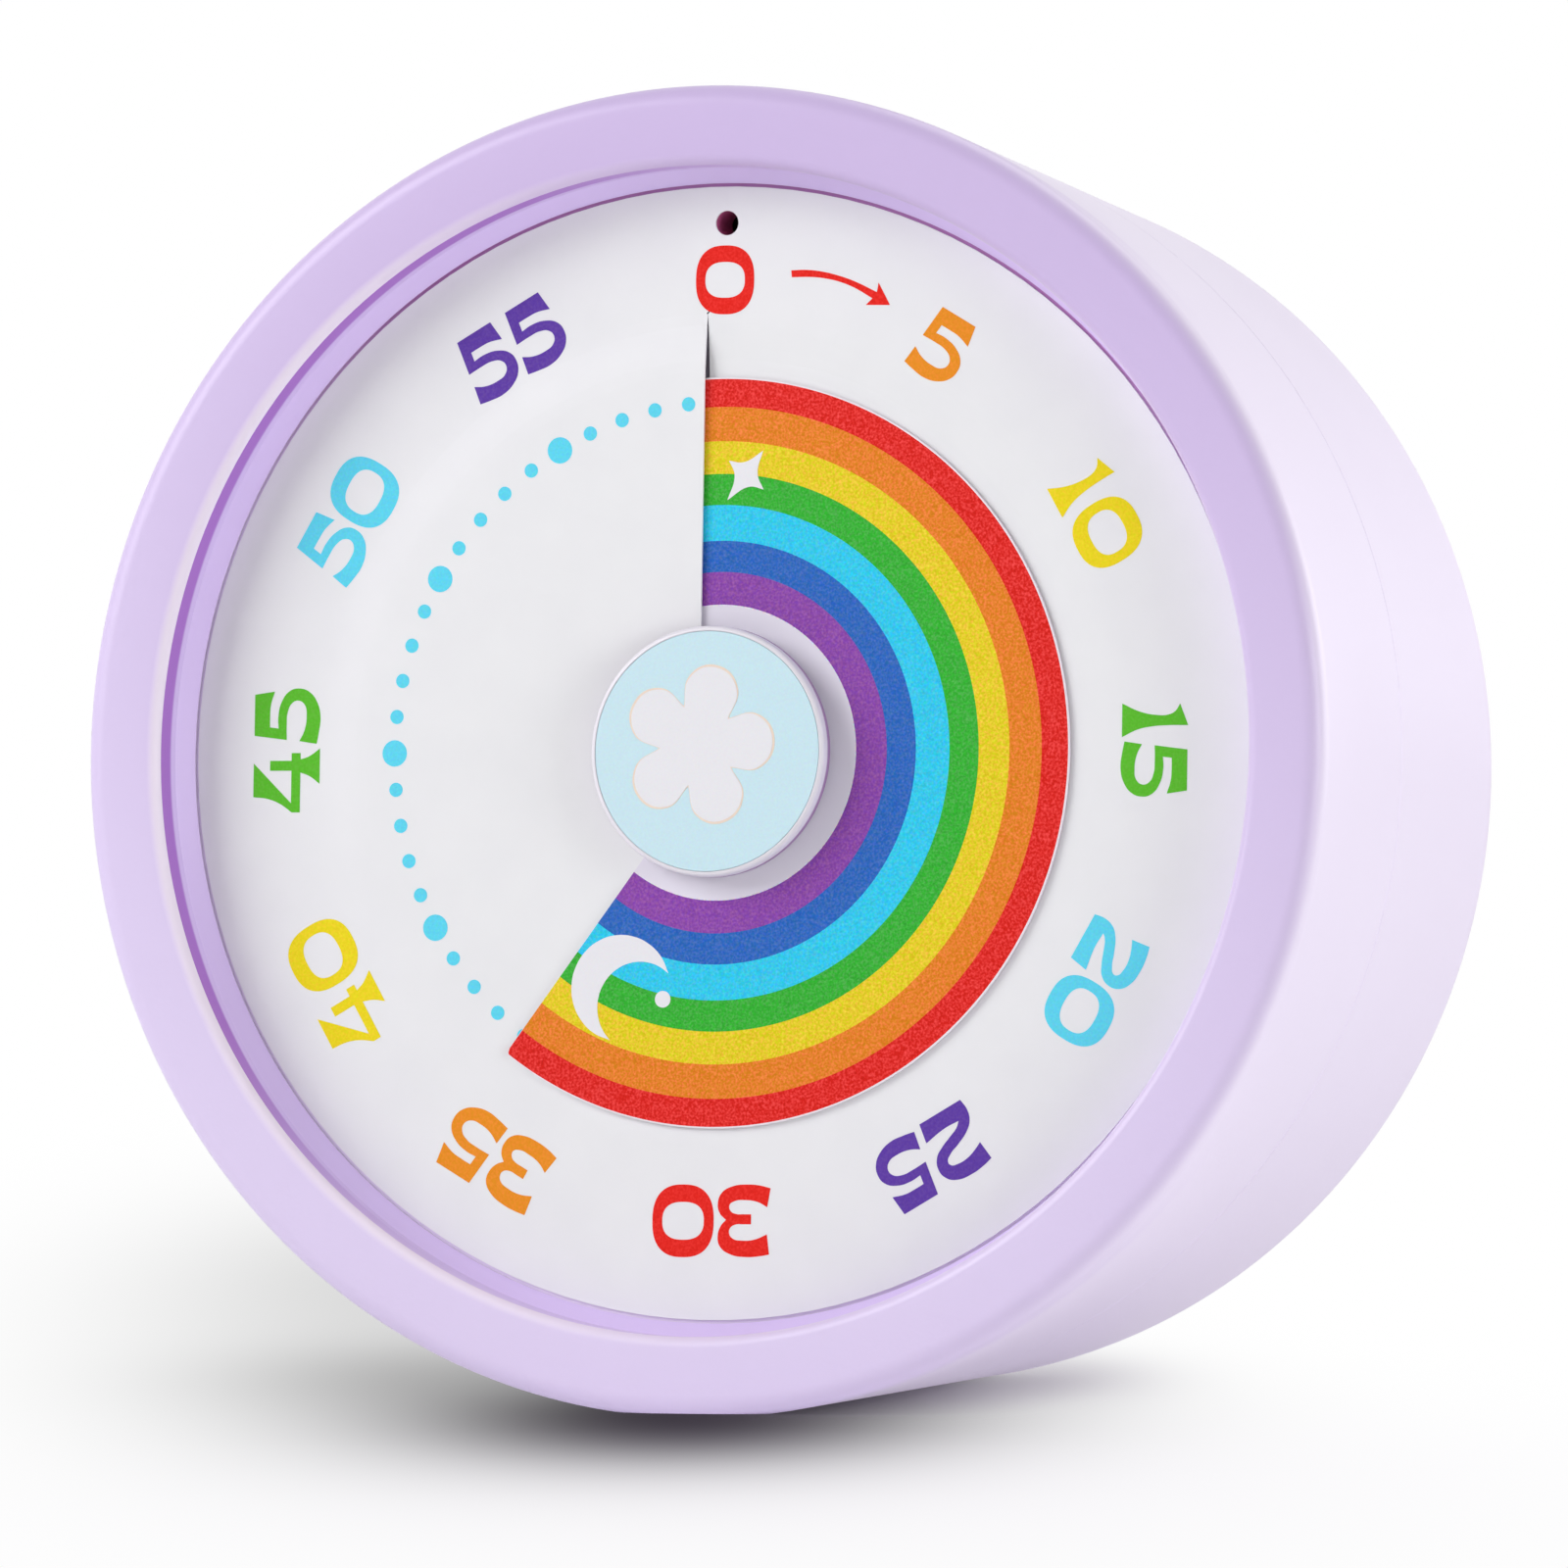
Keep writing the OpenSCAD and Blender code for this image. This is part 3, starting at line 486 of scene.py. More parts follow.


# one lavender plastic: its finish carries painted light and shade by place
lavender = moulding("Lavender satin moulding, painted light and shade", SHADED_RIM_TOP, 0.38, 0.04, shade=case_by_place)
# painted shade: a deeper copy of the lavender for the wall in the groove
wall_shaded_copy = moulding("Lavender wall, painted shade", ink(178, 116, 212), 0.45, 0.1,
                         shade=wall_by_place)
# painted light: a paler copy of the lavender for the ledge
ledge_lit_copy = moulding("Lavender ledge, painted light", LIT_LEDGE, 0.42, 0.04)
# painted shade in the gap round the dial
gap_shade = moulding("Plum shade in gaps", ink(186, 126, 188), 0.6, 0.1, shade=gap_by_place)
# painted shade: plum colour for the shaded inside of the sound hole
hole_shade = moulding("Plum hole, painted shade", ink(190, 92, 142), 0.6, 0.1)

# %% The finishes of the small parts
knob_white = moulding("White satin knob", ink(234, 230, 238), 0.38, 0.03)
knob_plastic = moulding("White satin knob, shaded foot", ink(234, 230, 238), 0.38, 0.03,
                        shade=knob_by_place)
brass = moulding("Turned brass", ink(214, 184, 112), 0.32, 0.15, 0.02, 4000.0, metallic=1.0)
steel = moulding("Zinc-plated steel", ink(196, 198, 202), 0.34, 0.12, 0.02, 3500.0,
                 metallic=1.0)
acetal = moulding("Natural acetal", ink(236, 231, 214), 0.4, 0.05)
housing_grey = moulding("Pale grey moulding", ink(214, 218, 221), 0.45, 0.06)
magnet_grey = moulding("Sintered magnet", ink(92, 94, 98), 0.5, 0.2, 0.04, 6000.0,
                       metallic=0.8)
winding = moulding("Enamelled copper wire", ink(190, 96, 58), 0.3, 0.2, 0.1, 9000.0,
                   metallic=0.9)
mask_green = moulding("Green solder mask", ink(38, 118, 66), 0.35, 0.15)
black_moulding = moulding("Black moulding", ink(34, 35, 38), 0.45, 0.2)
cell_jacket = moulding("Dark cell jacket", ink(58, 61, 70), 0.28, 0.1, 0.01, 1500.0,
                       metallic=0.4, coat=0.4)

# %% [markdown]
# ## The printed films
# The dial is plain white matt film. The rainbow on the disc is made of rings, and a ring is
# nothing but a range of distances from the axis, so a colour ramp with hard steps over the radius
# draws all seven at once and stays sharp at any size. The cut edges of the film are bare white: a
# thin white line at the rim and along the radial cut shows where the ink ends.

# %% White film
DIAL_WHITES, DIAL_ROUGHNESS = (ink(232, 232, 235), ink(238, 238, 240)), 0.47
white_film, b, shader = finish("White dial film")
grain = group_node(b, print_grain)
b.join(b.blend(grain.outputs["Mottle"], *DIAL_WHITES), shader.inputs["Base Color"])
b.join(uneven(b, grain.outputs["Mottle"], DIAL_ROUGHNESS, PRINT_SPREAD),
       shader.inputs["Roughness"])

# %% Rainbow print
# where each ring begins, in mm from the axis, and its screen colour
BANDS = [(0.0, (230, 226, 238)), (8.83, (138, 64, 168)), (10.83, (28, 98, 188)),
         (12.75, (34, 202, 238)), (14.82, (42, 174, 38)), (16.77, (232, 206, 0)),
         (18.74, (232, 126, 4)), (20.74, (226, 16, 0)), (22.5, (238, 232, 238))]
CUT_AT, BARE_EDGE, RAMP_R, RAINBOW_GRAIN, RAINBOW_ROUGHNESS = 216.7, 0.07, 24.0, 0.38, 0.45
rainbow, b, shader = finish("Rainbow print")
spot = group_node(b, dial_place)
ramp = b.add("ShaderNodeValToRGB")
ramp.color_ramp.interpolation = "CONSTANT"
stops = ramp.color_ramp.elements  # a new ramp has two already
for k, (radius, colour) in enumerate(BANDS):
    stop = stops[k] if k < 2 else stops.new(radius / RAMP_R)
    stop.position, stop.color = radius / RAMP_R, ink(*colour)
b.join(b.math("DIVIDE", spot.outputs["Radius"], RAMP_R), ramp.inputs[0])
grain = group_node(b, print_grain, Strength=RAINBOW_GRAIN)
ringed = b.math("MULTIPLY", b.math("GREATER_THAN", spot.outputs["Radius"], BANDS[1][0]),
                b.math("LESS_THAN", spot.outputs["Radius"], BANDS[-1][0]))
inked = b.blend(ringed, ramp.outputs[0], grain.outputs["Tint"], "MULTIPLY")
inked = b.blend(b.math("MULTIPLY", ringed, grain.outputs["Speck"]), inked, FILM_WHITE)
away = b.math("ABSOLUTE", b.math("SUBTRACT", CUT_AT, spot.outputs["Clock angle"]))
mm_per_degree = b.math("MULTIPLY", spot.outputs["Radius"], math.pi / 180)
bare = b.math("LESS_THAN", b.math("MULTIPLY", away, mm_per_degree), BARE_EDGE)
b.join(b.blend(bare, inked, FILM_WHITE), shader.inputs["Base Color"])
b.join(uneven(b, grain.outputs["Mottle"], RAINBOW_ROUGHNESS, PRINT_SPREAD),
       shader.inputs["Roughness"])
shader.inputs["Specular IOR Level"].default_value = PRINT_SHINE

# %% Inks
label_print = printed("Pale blue label", ink(204, 233, 243), 0.45, 0.06)
motif_white = printed("White motif", ink(236, 235, 240), 0.45, 0.03)
motif_blush = printed("Blush outline", ink(240, 222, 206), 0.45, 0.05)
INKS = {"red": (233, 20, 0), "orange": (238, 143, 14), "yellow": (240, 217, 0),
        "green": (88, 188, 32), "sky": (92, 216, 242), "purple": (92, 54, 162)}
inks = {name: printed(name.capitalize() + " ink", ink(*rgb), 0.5, 0.14)
        for name, rgb in INKS.items()}
print(len(bpy.data.materials), "finishes")

# %% [markdown]
# ## The front shell
# The rim is a wide flat ring with rounded edges, an upright inner wall, and a slanting ledge that
# runs down to the dial. The shell is one turned shape from its real section. The wall in the
# groove is moulded in the same plastic, but it gets a deeper copy of the finish as painted shade.
# The ledge gets a paler copy as painted light, and the gap round the dial and the sound hole get
# plum painted shade. Which faces get which finish is told by where they lie.

# %% Front shell
RIM_R, BACK_R, FACE_H, BACK_Z, PARTING_Z, WALL = 40.0, 37.2, 3.8, -36.6, -13.5, 1.8
RIM_FILLET, LIP_FILLET, BACK_FILLET, LIP_R = 1.3, 0.7, 3.5, 35.15
LEDGE_TOP, LEDGE_R, GAP_R, SHEET_T, GROOVE = 1.1, 34.3, 34.0, 0.16, 0.09
RECESS_R, RECESS_Z, BUSH_R, WEB_Z = 26.6, -1.3, 4.0, -2.7
CHANNEL_R, CHANNEL_Z, SOUND_HOLE_R, SOUND_HOLE_Y = (36.3, 38.2), 2.2, 0.74, 31.9
SIDE_RING_Z = -6.0  # keeps the smooth shading of the rim's fillet off the rest of the side
rim_z, lip_z, back_round_z = FACE_H - RIM_FILLET, FACE_H - LIP_FILLET, BACK_Z + BACK_FILLET


def case_r(z):
    """The outer radius of the tapered case at a height."""
    return RIM_R - (rim_z - z) * math.tan(LEAN)


front_section = (
    [(case_r(PARTING_Z) - GROOVE, PARTING_Z), (case_r(PARTING_Z + GROOVE), PARTING_Z + GROOVE),
     (case_r(SIDE_RING_Z), SIDE_RING_Z)]
    + arc(RIM_R - RIM_FILLET, rim_z, RIM_FILLET, 0, 90, 12)
    + arc(LIP_R + LIP_FILLET, lip_z, LIP_FILLET, 90, 180, 8)
    + [(LIP_R, LEDGE_TOP), (LEDGE_R, 0.0), (LEDGE_R, -SHEET_T), (GAP_R, -SHEET_T),
       (RECESS_R, -SHEET_T), (RECESS_R, RECESS_Z), (BUSH_R, RECESS_Z), (BUSH_R, WEB_Z),
       (CHANNEL_R[0], WEB_Z), (CHANNEL_R[0], CHANNEL_Z), (CHANNEL_R[1], CHANNEL_Z),
       (case_r(WEB_Z) - WALL, WEB_Z), (case_r(PARTING_Z) - WALL, PARTING_Z),
       (case_r(PARTING_Z) - GROOVE, PARTING_Z)])
front_shell = turned_solid(front_section)
carve(front_shell, [post(SOUND_HOLE_R, (-4, 1), (0, SOUND_HOLE_Y), 32)])


def cut_standing_flat(piece):
    """Cuts away what lies under the table, in the leaning frame."""
    upwards = (LYING.to_3x3() @ Vector((0, 0, 1))).normalized()
    pick(piece)
    bpy.ops.object.mode_set(mode="EDIT")
    bpy.ops.mesh.select_all(action="SELECT")
    bpy.ops.mesh.bisect(plane_co=LYING @ Vector((0, 0, 0)), plane_no=upwards, use_fill=True,
                        clear_inner=True)
    bpy.ops.object.mode_set(mode="OBJECT")


cut_standing_flat(front_shell)
PLASTICS = (lavender, wall_shaded_copy, ledge_lit_copy, gap_shade, hole_shade)
stand(front_shell, "front_shell", "case", PLASTICS)
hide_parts("front_case")

# %% Which faces of the front shell get which finish
NEAR, HOLE_NEAR = 0.08, 0.04
sound_hole = Vector((0, SOUND_HOLE_Y))
# painted shade on the wall, the gap and the sound hole, and painted light on the ledge
for face in front_shell.data.polygons:
    spot = LYING @ face.center
    r, z = spot.xy.length, spot.z
    if abs(r - LIP_R) < NEAR and LEDGE_TOP - NEAR < z < lip_z + NEAR:
        plastic = wall_shaded_copy
    elif LEDGE_R < r < LIP_R and 0 < z < LEDGE_TOP:
        plastic = ledge_lit_copy
    elif GAP_R < r < LEDGE_R + NEAR and -SHEET_T - NEAR < z < 0:
        plastic = gap_shade
    elif (spot.xy - sound_hole).length < SOUND_HOLE_R + HOLE_NEAR and WEB_Z - NEAR < z:
        plastic = hole_shade
    else:
        plastic = lavender
    face.material_index = PLASTICS.index(plastic)

# %% [markdown]
# ## The rear shell
# The back half is a tapered cup, a bay for one cell, three screw wells, a window for the sound
# switch and slots that let the buzzer be heard. The cup is turned like the front. The bay and the
# columns are joined to it and the openings are carved out with boolean modifiers, each from a
# simple tool, as the real mould has a core for each.

# %% Rear shell
CELL_Y, BAY_X, BAY_HALF_Y, BAY_FRONT_Z, BAY_WALL = -7.0, 25.6, 5.6, -23.5, 1.2
DOOR_LIP, DOOR_T, DOOR_GAP, DOOR_CORNER, BACK_T, INNER_FILLET = 0.8, 1.2, 0.2, 1.5, 2.0, 1.7
COLUMN_R, WELL_R, WELL_END_Z, BORE_R = 3.4, 2.4, -22, 1.1
SCREWS = [(24, 20), (-19, 25.5), (0, -30)]
rear_section = (
    [(0.0, BACK_Z)] + arc(BACK_R - BACK_FILLET, back_round_z, BACK_FILLET, -90, 0, 16)
    + [(case_r(PARTING_Z - GROOVE), PARTING_Z - GROOVE), (case_r(PARTING_Z) - GROOVE, PARTING_Z),
       (case_r(PARTING_Z) - WALL, PARTING_Z)]
    + arc(BACK_R - WALL - INNER_FILLET, BACK_Z + BACK_T + INNER_FILLET, INNER_FILLET, 0, -90, 6)
    + [(0.0, BACK_Z + BACK_T)])
rear_shell = turned_solid(rear_section)


def bay_box(by, z):
    """A box as wide as the battery bay, widened on all four sides."""
    return block(about(0, BAY_X + by), about(CELL_Y, BAY_HALF_Y + by), z)


carve(rear_shell, [bay_box(BAY_WALL, (BACK_Z + 1, BAY_FRONT_Z + BAY_WALL))]
      + [post(COLUMN_R, (BACK_Z + 1, PARTING_Z - 1), p) for p in SCREWS], "UNION")


def upright_rounded(by, z, radius):
    """A plate the size of the bay with round upright corners."""
    plate = bay_box(by, z)
    pick(plate)
    bpy.ops.object.mode_set(mode="EDIT")
    bpy.ops.mesh.select_all(action="DESELECT")
    bpy.ops.object.mode_set(mode="OBJECT")
    for edge in plate.data.edges:
        a, c = (plate.data.vertices[i].co for i in edge.vertices)
        edge.select = abs(a.z - c.z) > 0.1
    bpy.ops.object.mode_set(mode="EDIT")
    bpy.ops.mesh.select_mode(type="EDGE")
    bpy.ops.mesh.bevel(offset=radius, segments=8, affect="EDGES")
    bpy.ops.mesh.select_mode(type="VERT")
    bpy.ops.object.mode_set(mode="OBJECT")
    return plate


# %% Openings in the back
SLOT_PITCH, SLOT_HALF_W, SLOT_Y, LONGEST_SLOT = 2.6, 0.6, 29, 7
NOTCH_R, NOTCH_HALF_X, NOTCH_PAST_DOOR, NOTCH_BELOW_BACK = 2.0, 7, 1, 1.2
WINDOW_X, WINDOW_Y = (9.2, 14.8), (14.4, 17.6)
LEG_INSET, LEG_HALF_X, LEG_HALF_Y = 0.4, 0.6, 1.7
through_back = about(BACK_Z, 3)
slots = [block(about(i * SLOT_PITCH, SLOT_HALF_W), about(SLOT_Y, (LONGEST_SLOT - abs(i)) / 2),
               through_back) for i in range(-3, 4)]
notch = post(NOTCH_R, about(0, NOTCH_HALF_X), sides=48)
notch_at = (0, CELL_Y + BAY_HALF_Y + DOOR_LIP + NOTCH_PAST_DOOR, BACK_Z - NOTCH_BELOW_BACK)
notch.data.transform(Matrix.Translation(notch_at) @ Matrix.Rotation(math.pi / 2, 4, "Y"))
carve(rear_shell, [upright_rounded(DOOR_LIP, (BACK_Z - 1, BACK_Z + DOOR_T), DOOR_CORNER),
                   bay_box(0, (BACK_Z - 1, BAY_FRONT_Z)), notch,
                   block(WINDOW_X, WINDOW_Y, through_back)] + slots
      + [post(WELL_R, (BACK_Z - 1, WELL_END_Z), p) for p in SCREWS]
      + [post(BORE_R, (WELL_END_Z - 1, PARTING_Z + 0.5), p, 32) for p in SCREWS]
      + [block(about(side * (BAY_X - LEG_INSET), LEG_HALF_X), about(CELL_Y, LEG_HALF_Y),
               (BAY_FRONT_Z - 0.5, BAY_FRONT_Z + 2)) for side in (-1, 1)])
cut_standing_flat(rear_shell)
stand(rear_shell, "rear_shell", "case", (lavender,))
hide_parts("rear_case")

# %% [markdown]
# ## Battery door and switch nib
# The door is a plain plate with rounded corners that drops into the case flush with the back. Its
# edges are softened, and five short grooves beside the notch give the finger a grip. The nib of
# the sound switch is a small softened block on a slightly wider foot.

# %% Battery door and switch nib
GRIP_PITCH, GRIP_HALF_W, GRIP_DEPTH = 1.8, 0.4, 0.25
door = upright_rounded(DOOR_LIP - DOOR_GAP, (BACK_Z, BACK_Z + DOOR_T), DOOR_CORNER - DOOR_GAP)
carve(door, [block(about(i * GRIP_PITCH, GRIP_HALF_W), (CELL_Y + 2, CELL_Y + 6),
                   (BACK_Z - 0.5, BACK_Z + GRIP_DEPTH)) for i in range(-2, 3)])
soften(door, 0.12, 2, 50)
stand(door, "battery_lid", "battery_door", (lavender,), 20)
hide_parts("battery_door")
nib = joined([block((9.4, 12.0), (14.6, 17.4), (BACK_Z + 0.2, BACK_Z + 2.6), 0.25),
              block((8.9, 12.5), (14.4, 17.6), (BACK_Z + 2.1, BACK_Z + 3.6), 0.1)])
stand(nib, "switch_nib", "switch_slider", (knob_white,))
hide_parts("switch_slider")

# %% [markdown]
# ## The knob and its label
# The knob is a low turned button. Its top edge is rounded, and a pale blue label lies in a shallow
# recess, which leaves a thin white rim round it.

# %% Knob
KNOB_R, KNOB_H, KNOB_T, KNOB_FILLET, FOOT_CHAMFER = 7.55, 2.0, 1.15, 0.3, 0.1
KNOB_RIM, LABEL_T, LABEL_INSET, LABEL_CHAMFER = 0.25, 0.1, 0.33, 0.02
knob_under_z, label_under_z, label_r = KNOB_H - KNOB_T, KNOB_H - LABEL_T, KNOB_R - LABEL_INSET
knob_section = ([(0.0, knob_under_z), (KNOB_R - FOOT_CHAMFER, knob_under_z),
                 (KNOB_R, knob_under_z + FOOT_CHAMFER)]
                + arc(KNOB_R - KNOB_FILLET, KNOB_H - KNOB_FILLET, KNOB_FILLET, 0, 90, 6)
                + [(KNOB_R - KNOB_RIM, KNOB_H), (KNOB_R - KNOB_RIM, label_under_z),
                   (0.0, label_under_z)])
knob_cap = turned_solid(knob_section, 160)
stand(knob_cap, "knob_cap", "knob", (knob_plastic,))
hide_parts("knob")
label = turned_solid([(0.0, label_under_z), (label_r, label_under_z),
                      (label_r, KNOB_H - LABEL_CHAMFER), (label_r - LABEL_CHAMFER, KNOB_H),
                      (0.0, KNOB_H)], 160)
stand(label, "label_disc", "knob", (label_print,))
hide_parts("knob_label")

# %% [markdown]
# ## Flat prints
# Numerals, dots and motifs are flat shapes with clean outlines. A two-dimensional Bezier curve
# fills its own outline, holes included, and a hair of extrusion makes it a thin solid, like a
# film of ink. An outline is written as runs of points: the last point of a run is a sharp corner,
# the others are smooth, and an outline with a single run is smooth all round. The curve is made a
# mesh before it is put in place.

# %% Flat print helper
INK_T = 0.016


def flat_print(outlines, to_place, height):
    """Filled outlines as a thin mesh: to_place puts them on the dial, height gives the surface."""
    bpy.ops.object.select_all(action="DESELECT")
    bpy.ops.curve.primitive_bezier_circle_add(radius=1, location=(0, 0, 0))
    piece = bpy.context.object
    curve = piece.data
    curve.splines.clear()
    curve.dimensions, curve.fill_mode, curve.resolution_u = "2D", "BOTH", 10
    curve.extrude = INK_T / 2
    for runs in outlines:
        knots = [(point, i == len(run) - 1 and len(runs) > 1) for run in runs
                 for i, point in enumerate(run)]
        spline = curve.splines.new("BEZIER")
        spline.bezier_points.add(len(knots) - 1)
        spline.use_cyclic_u = True
        for knot, (point, corner) in zip(spline.bezier_points, knots):
            knot.co = (*point, 0)
            kind = "VECTOR" if corner else "AUTO"
            knot.handle_left_type = knot.handle_right_type = kind
    bpy.ops.object.convert(target="MESH")
    piece = bpy.context.object
    bpy.ops.object.mode_set(mode="EDIT")
    close_mesh()
    piece.data.transform(to_place)
    for vertex in piece.data.vertices:
        vertex.co.z += height(vertex.co.x, vertex.co.y) + INK_T / 2
    return piece


def at_clock(radius, degrees, aside=0.0, size=1.0):
    """Puts a shape at a radius and a clock angle, its top outwards."""
    return (Matrix.Rotation(-math.radians(degrees), 4, "Z")
            @ Matrix.Translation((aside, radius, 0)) @ Matrix.Scale(size, 4))


# %% [markdown]
# ## How high the films lie
# Each film is one turn of a very flat screw thread: half its rise below the middle on one side of
# its cut and half above on the other. A dot or a motif must follow that slope, so these functions
# give the height of a film's face at any point. The dial flattens out again towards its rim.

# %% Heights of the films
RISE, SLIT_X, FADE = 0.56, 1.15, (23.0, 26.5)


def dial_height(x, y):
    """The dial's face: its cut runs up the dial, SLIT_X left of the middle."""
    r = math.hypot(x, y)
    turn = ((math.degrees(math.atan2(x, y)) + math.degrees(math.asin(min(1, SLIT_X / r)))) % 360)
    t = min(1.0, max(0.0, (r - FADE[0]) / (FADE[1] - FADE[0])))
    return RISE * (turn / 360 - 0.5) * (1 - t * t * (3 - 2 * t))


def disc_height(x, y):
    """The disc's face at rest: a turn of thread, lifted by how far the disc has been turned."""
    turn = ((math.degrees(math.atan2(x, y)) - CUT_AT) % 360) / 360
    return RISE * (CUT_AT - 180) / 360 + RISE * (turn - 0.5)


# %% [markdown]
# ## The minute dots
# One dot a minute, a larger one every five. A dot is a very short cylinder from the same helper
# as the screw wells, and it takes the height of the film where it lands. All sixty are joined
# into one print.

# %% Minute dots
MINUTE_TURN, DOT_RING, LARGE_DOT, SMALL_DOT = 6, 21.09, 0.8, 0.435
dots = []
for minute in range(60):
    centre = clock(DOT_RING, MINUTE_TURN * minute)
    radius = SMALL_DOT if minute % 5 else LARGE_DOT
    dots.append(post(radius, about(dial_height(*centre), INK_T), centre, sides=24))
minute_dots = joined(dots)
stand(minute_dots, "minute_dots", "case", (inks["sky"],), 0)

# %% [markdown]
# ## The numerals
# The figures are heavy, wide and flared at their ends. Each figure is drawn once, with x from its
# left edge and y from the middle of the line, and set side by side for the two-figure numerals.
# Their tops point outwards, so that the numeral at the top of the dial stands upright.

# %% Figures
def squarish(cx, cy, rx, ry, power=2.5, count=32):
    """A rounded figure between an ellipse and a rectangle."""
    points = []
    for k in range(count):
        a = math.tau * k / count
        c, s = math.cos(a), math.sin(a)
        points.append((cx + rx * math.copysign(abs(c) ** (2 / power), c),
                       cy + ry * math.copysign(abs(s) ** (2 / power), s)))
    return points


FIGURES = {
    "1": (2.0, [[[(1.29, 2.15)], [(1.29, 0.9), (1.36, -0.13), (1.54, -1.04), (2.0, -2.06)],
                 [(0.0, -2.06)], [(0.48, -0.93), (0.68, 0.1), (0.66, 0.88), (0.45, 1.32),
                                  (0.0, 1.62)]]]),
    "2": (3.34, [[[(0.05, 1.92)],
                  [(0.61, 2.06), (1.52, 2.15), (2.55, 2.0), (3.16, 1.54), (3.34, 0.85),
                   (3.07, 0.2), (2.43, -0.21), (1.75, -0.48), (1.07, -0.78), (0.8, -1.05)],
                  [(1.75, -1.1), (3.25, -0.9)], [(3.09, -2.1)], [(0.11, -2.1)],
                  [(0.0, -1.4), (0.16, -0.75), (0.61, -0.28), (1.52, 0.16), (2.2, 0.42),
                   (2.59, 0.76), (2.5, 1.04), (2.09, 1.18), (1.41, 1.18), (0.61, 0.93),
                   (0.23, 0.74)]]]),
    "3": (3.34, [[[(0.04, 1.96)],
                  [(0.7, 2.07), (1.5, 2.12), (2.52, 1.96), (3.18, 1.5), (3.32, 0.86),
                   (3.11, 0.25), (2.81, -0.07)],
                  [(3.2, -0.45), (3.34, -1.07), (3.09, -1.68), (2.41, -2.06), (1.5, -2.17),
                   (0.7, -2.12), (0.0, -1.96)],
                  [(0.2, -0.84)],
                  [(0.81, -1.14), (1.61, -1.25), (2.29, -1.18), (2.61, -0.93), (2.52, -0.59),
                   (2.15, -0.42), (1.7, -0.41), (1.22, -0.41)],
                  [(1.22, 0.18)],
                  [(1.7, 0.18), (2.2, 0.2), (2.54, 0.4), (2.61, 0.71), (2.39, 1.02),
                   (1.72, 1.15), (0.93, 1.07), (0.2, 0.77)]]]),
    "4": (3.82, [[[(0.91, 2.14)], [(2.91, 2.14)], [(0.54, -0.3)], [(2.48, -0.3)], [(2.48, 1.08)],
                  [(3.07, 1.08)], [(3.07, -0.3)], [(3.53, -0.3)], [(3.53, -0.87)],
                  [(3.15, -0.87)], [(3.32, -1.4), (3.8, -2.12)], [(1.7, -2.12)],
                  [(2.14, -1.5), (2.38, -0.87)], [(0.0, -0.87)], [(0.0, -0.35)],
                  [(0.5, 0.4), (0.8, 1.2), (0.91, 2.14)]]]),
    "5": (3.29, [[[(0.48, 2.12)], [(2.93, 2.12)], [(3.11, 0.85)],
                  [(2.3, 1.1), (1.64, 1.14), (0.98, 1.14)], [(0.91, 0.57)],
                  [(1.61, 0.6), (2.5, 0.39), (3.14, -0.12), (3.29, -0.75), (3.07, -1.4),
                   (2.45, -1.9), (1.59, -2.12), (0.69, -2.03), (0.0, -1.89)],
                  [(0.16, -0.78)],
                  [(0.79, -1.1), (1.64, -1.23), (2.27, -1.12), (2.57, -0.72), (2.43, -0.28),
                   (1.9, 0.0), (1.14, 0.06), (0.23, 0.04)]]]),
    "0": (3.9, [[squarish(1.95, 0, 1.95, 2.15)], [squarish(1.95, 0, 1.33, 1.12)]]),
}

# %% Numerals
# minutes: ink, radius of the middle of the line, shift along the ring, size
NUMERALS = {0: ("red", 28.47, -0.07, 0.965), 5: ("orange", 28.0, -0.05, 1.0),
            10: ("yellow", 27.99, -0.1, 1.0), 15: ("green", 27.93, -0.09, 1.0),
            20: ("sky", 28.0, -0.12, 1.0), 25: ("purple", 28.04, 0.0, 1.0),
            30: ("red", 28.14, 0.05, 1.015), 35: ("orange", 28.23, 0.1, 1.02),
            40: ("yellow", 28.32, 0.15, 1.03), 45: ("green", 28.23, 0.2, 1.02),
            50: ("sky", 28.18, 0.23, 1.015), 55: ("purple", 28.12, 0.24, 1.005)}
FIGURE_GAP = 0.26
for minutes, (colour, radius, aside, size) in NUMERALS.items():
    text = str(minutes)
    width = sum(FIGURES[c][0] for c in text) + FIGURE_GAP * (len(text) - 1)
    start, shapes = -width / 2, []
    for c in text:
        for runs in FIGURES[c][1]:
            shapes.append([[(x + start, y) for x, y in run] for run in runs])
        start += FIGURES[c][0] + FIGURE_GAP
    numeral = flat_print(shapes, at_clock(radius, MINUTE_TURN * minutes, aside, size),
                         dial_height)
    stand(numeral, f"numeral_{minutes:02d}", "case", (inks[colour],), 0)

# %% [markdown]
# ## The arrow
# The arrow beside the 0 shows which way to turn the knob. Its shaft bends a little more than the
# ring of numerals does, and its head has swept barbs.

# %% Arrow
arrow_outline = [
    [(4.21, 28.99)], [(5.17, 29.01), (6.18, 28.9), (7.28, 28.64), (8.38, 28.26), (9.76, 27.62)],
    [(9.86, 28.19)], [(10.61, 26.84)], [(9.06, 26.86)], [(9.47, 27.25)],
    [(8.39, 27.86), (7.47, 28.23), (6.55, 28.46), (5.64, 28.57), (4.25, 28.58)]]
arrow = flat_print([arrow_outline], Matrix.Identity(4), dial_height)
stand(arrow, "turn_arrow", "case", (inks["red"],), 0)

# %% [markdown]
# ## The motifs
# The knob's label and the disc carry a few plain white ornaments: a flower on the knob, and a
# crescent with a small round star and a four-pointed sparkle on the disc. They are flat prints
# like the numerals. The flower is one petal repeated by angle over a slightly larger blush copy,
# which leaves a thin outline; the crescent is a circle with a smaller circle bitten out of it.

# %% Motifs
PETALS, FLOWER_TURN, SHOULDER_R, SHOULDER_TURN = 5, 14, 0.86, 0.62


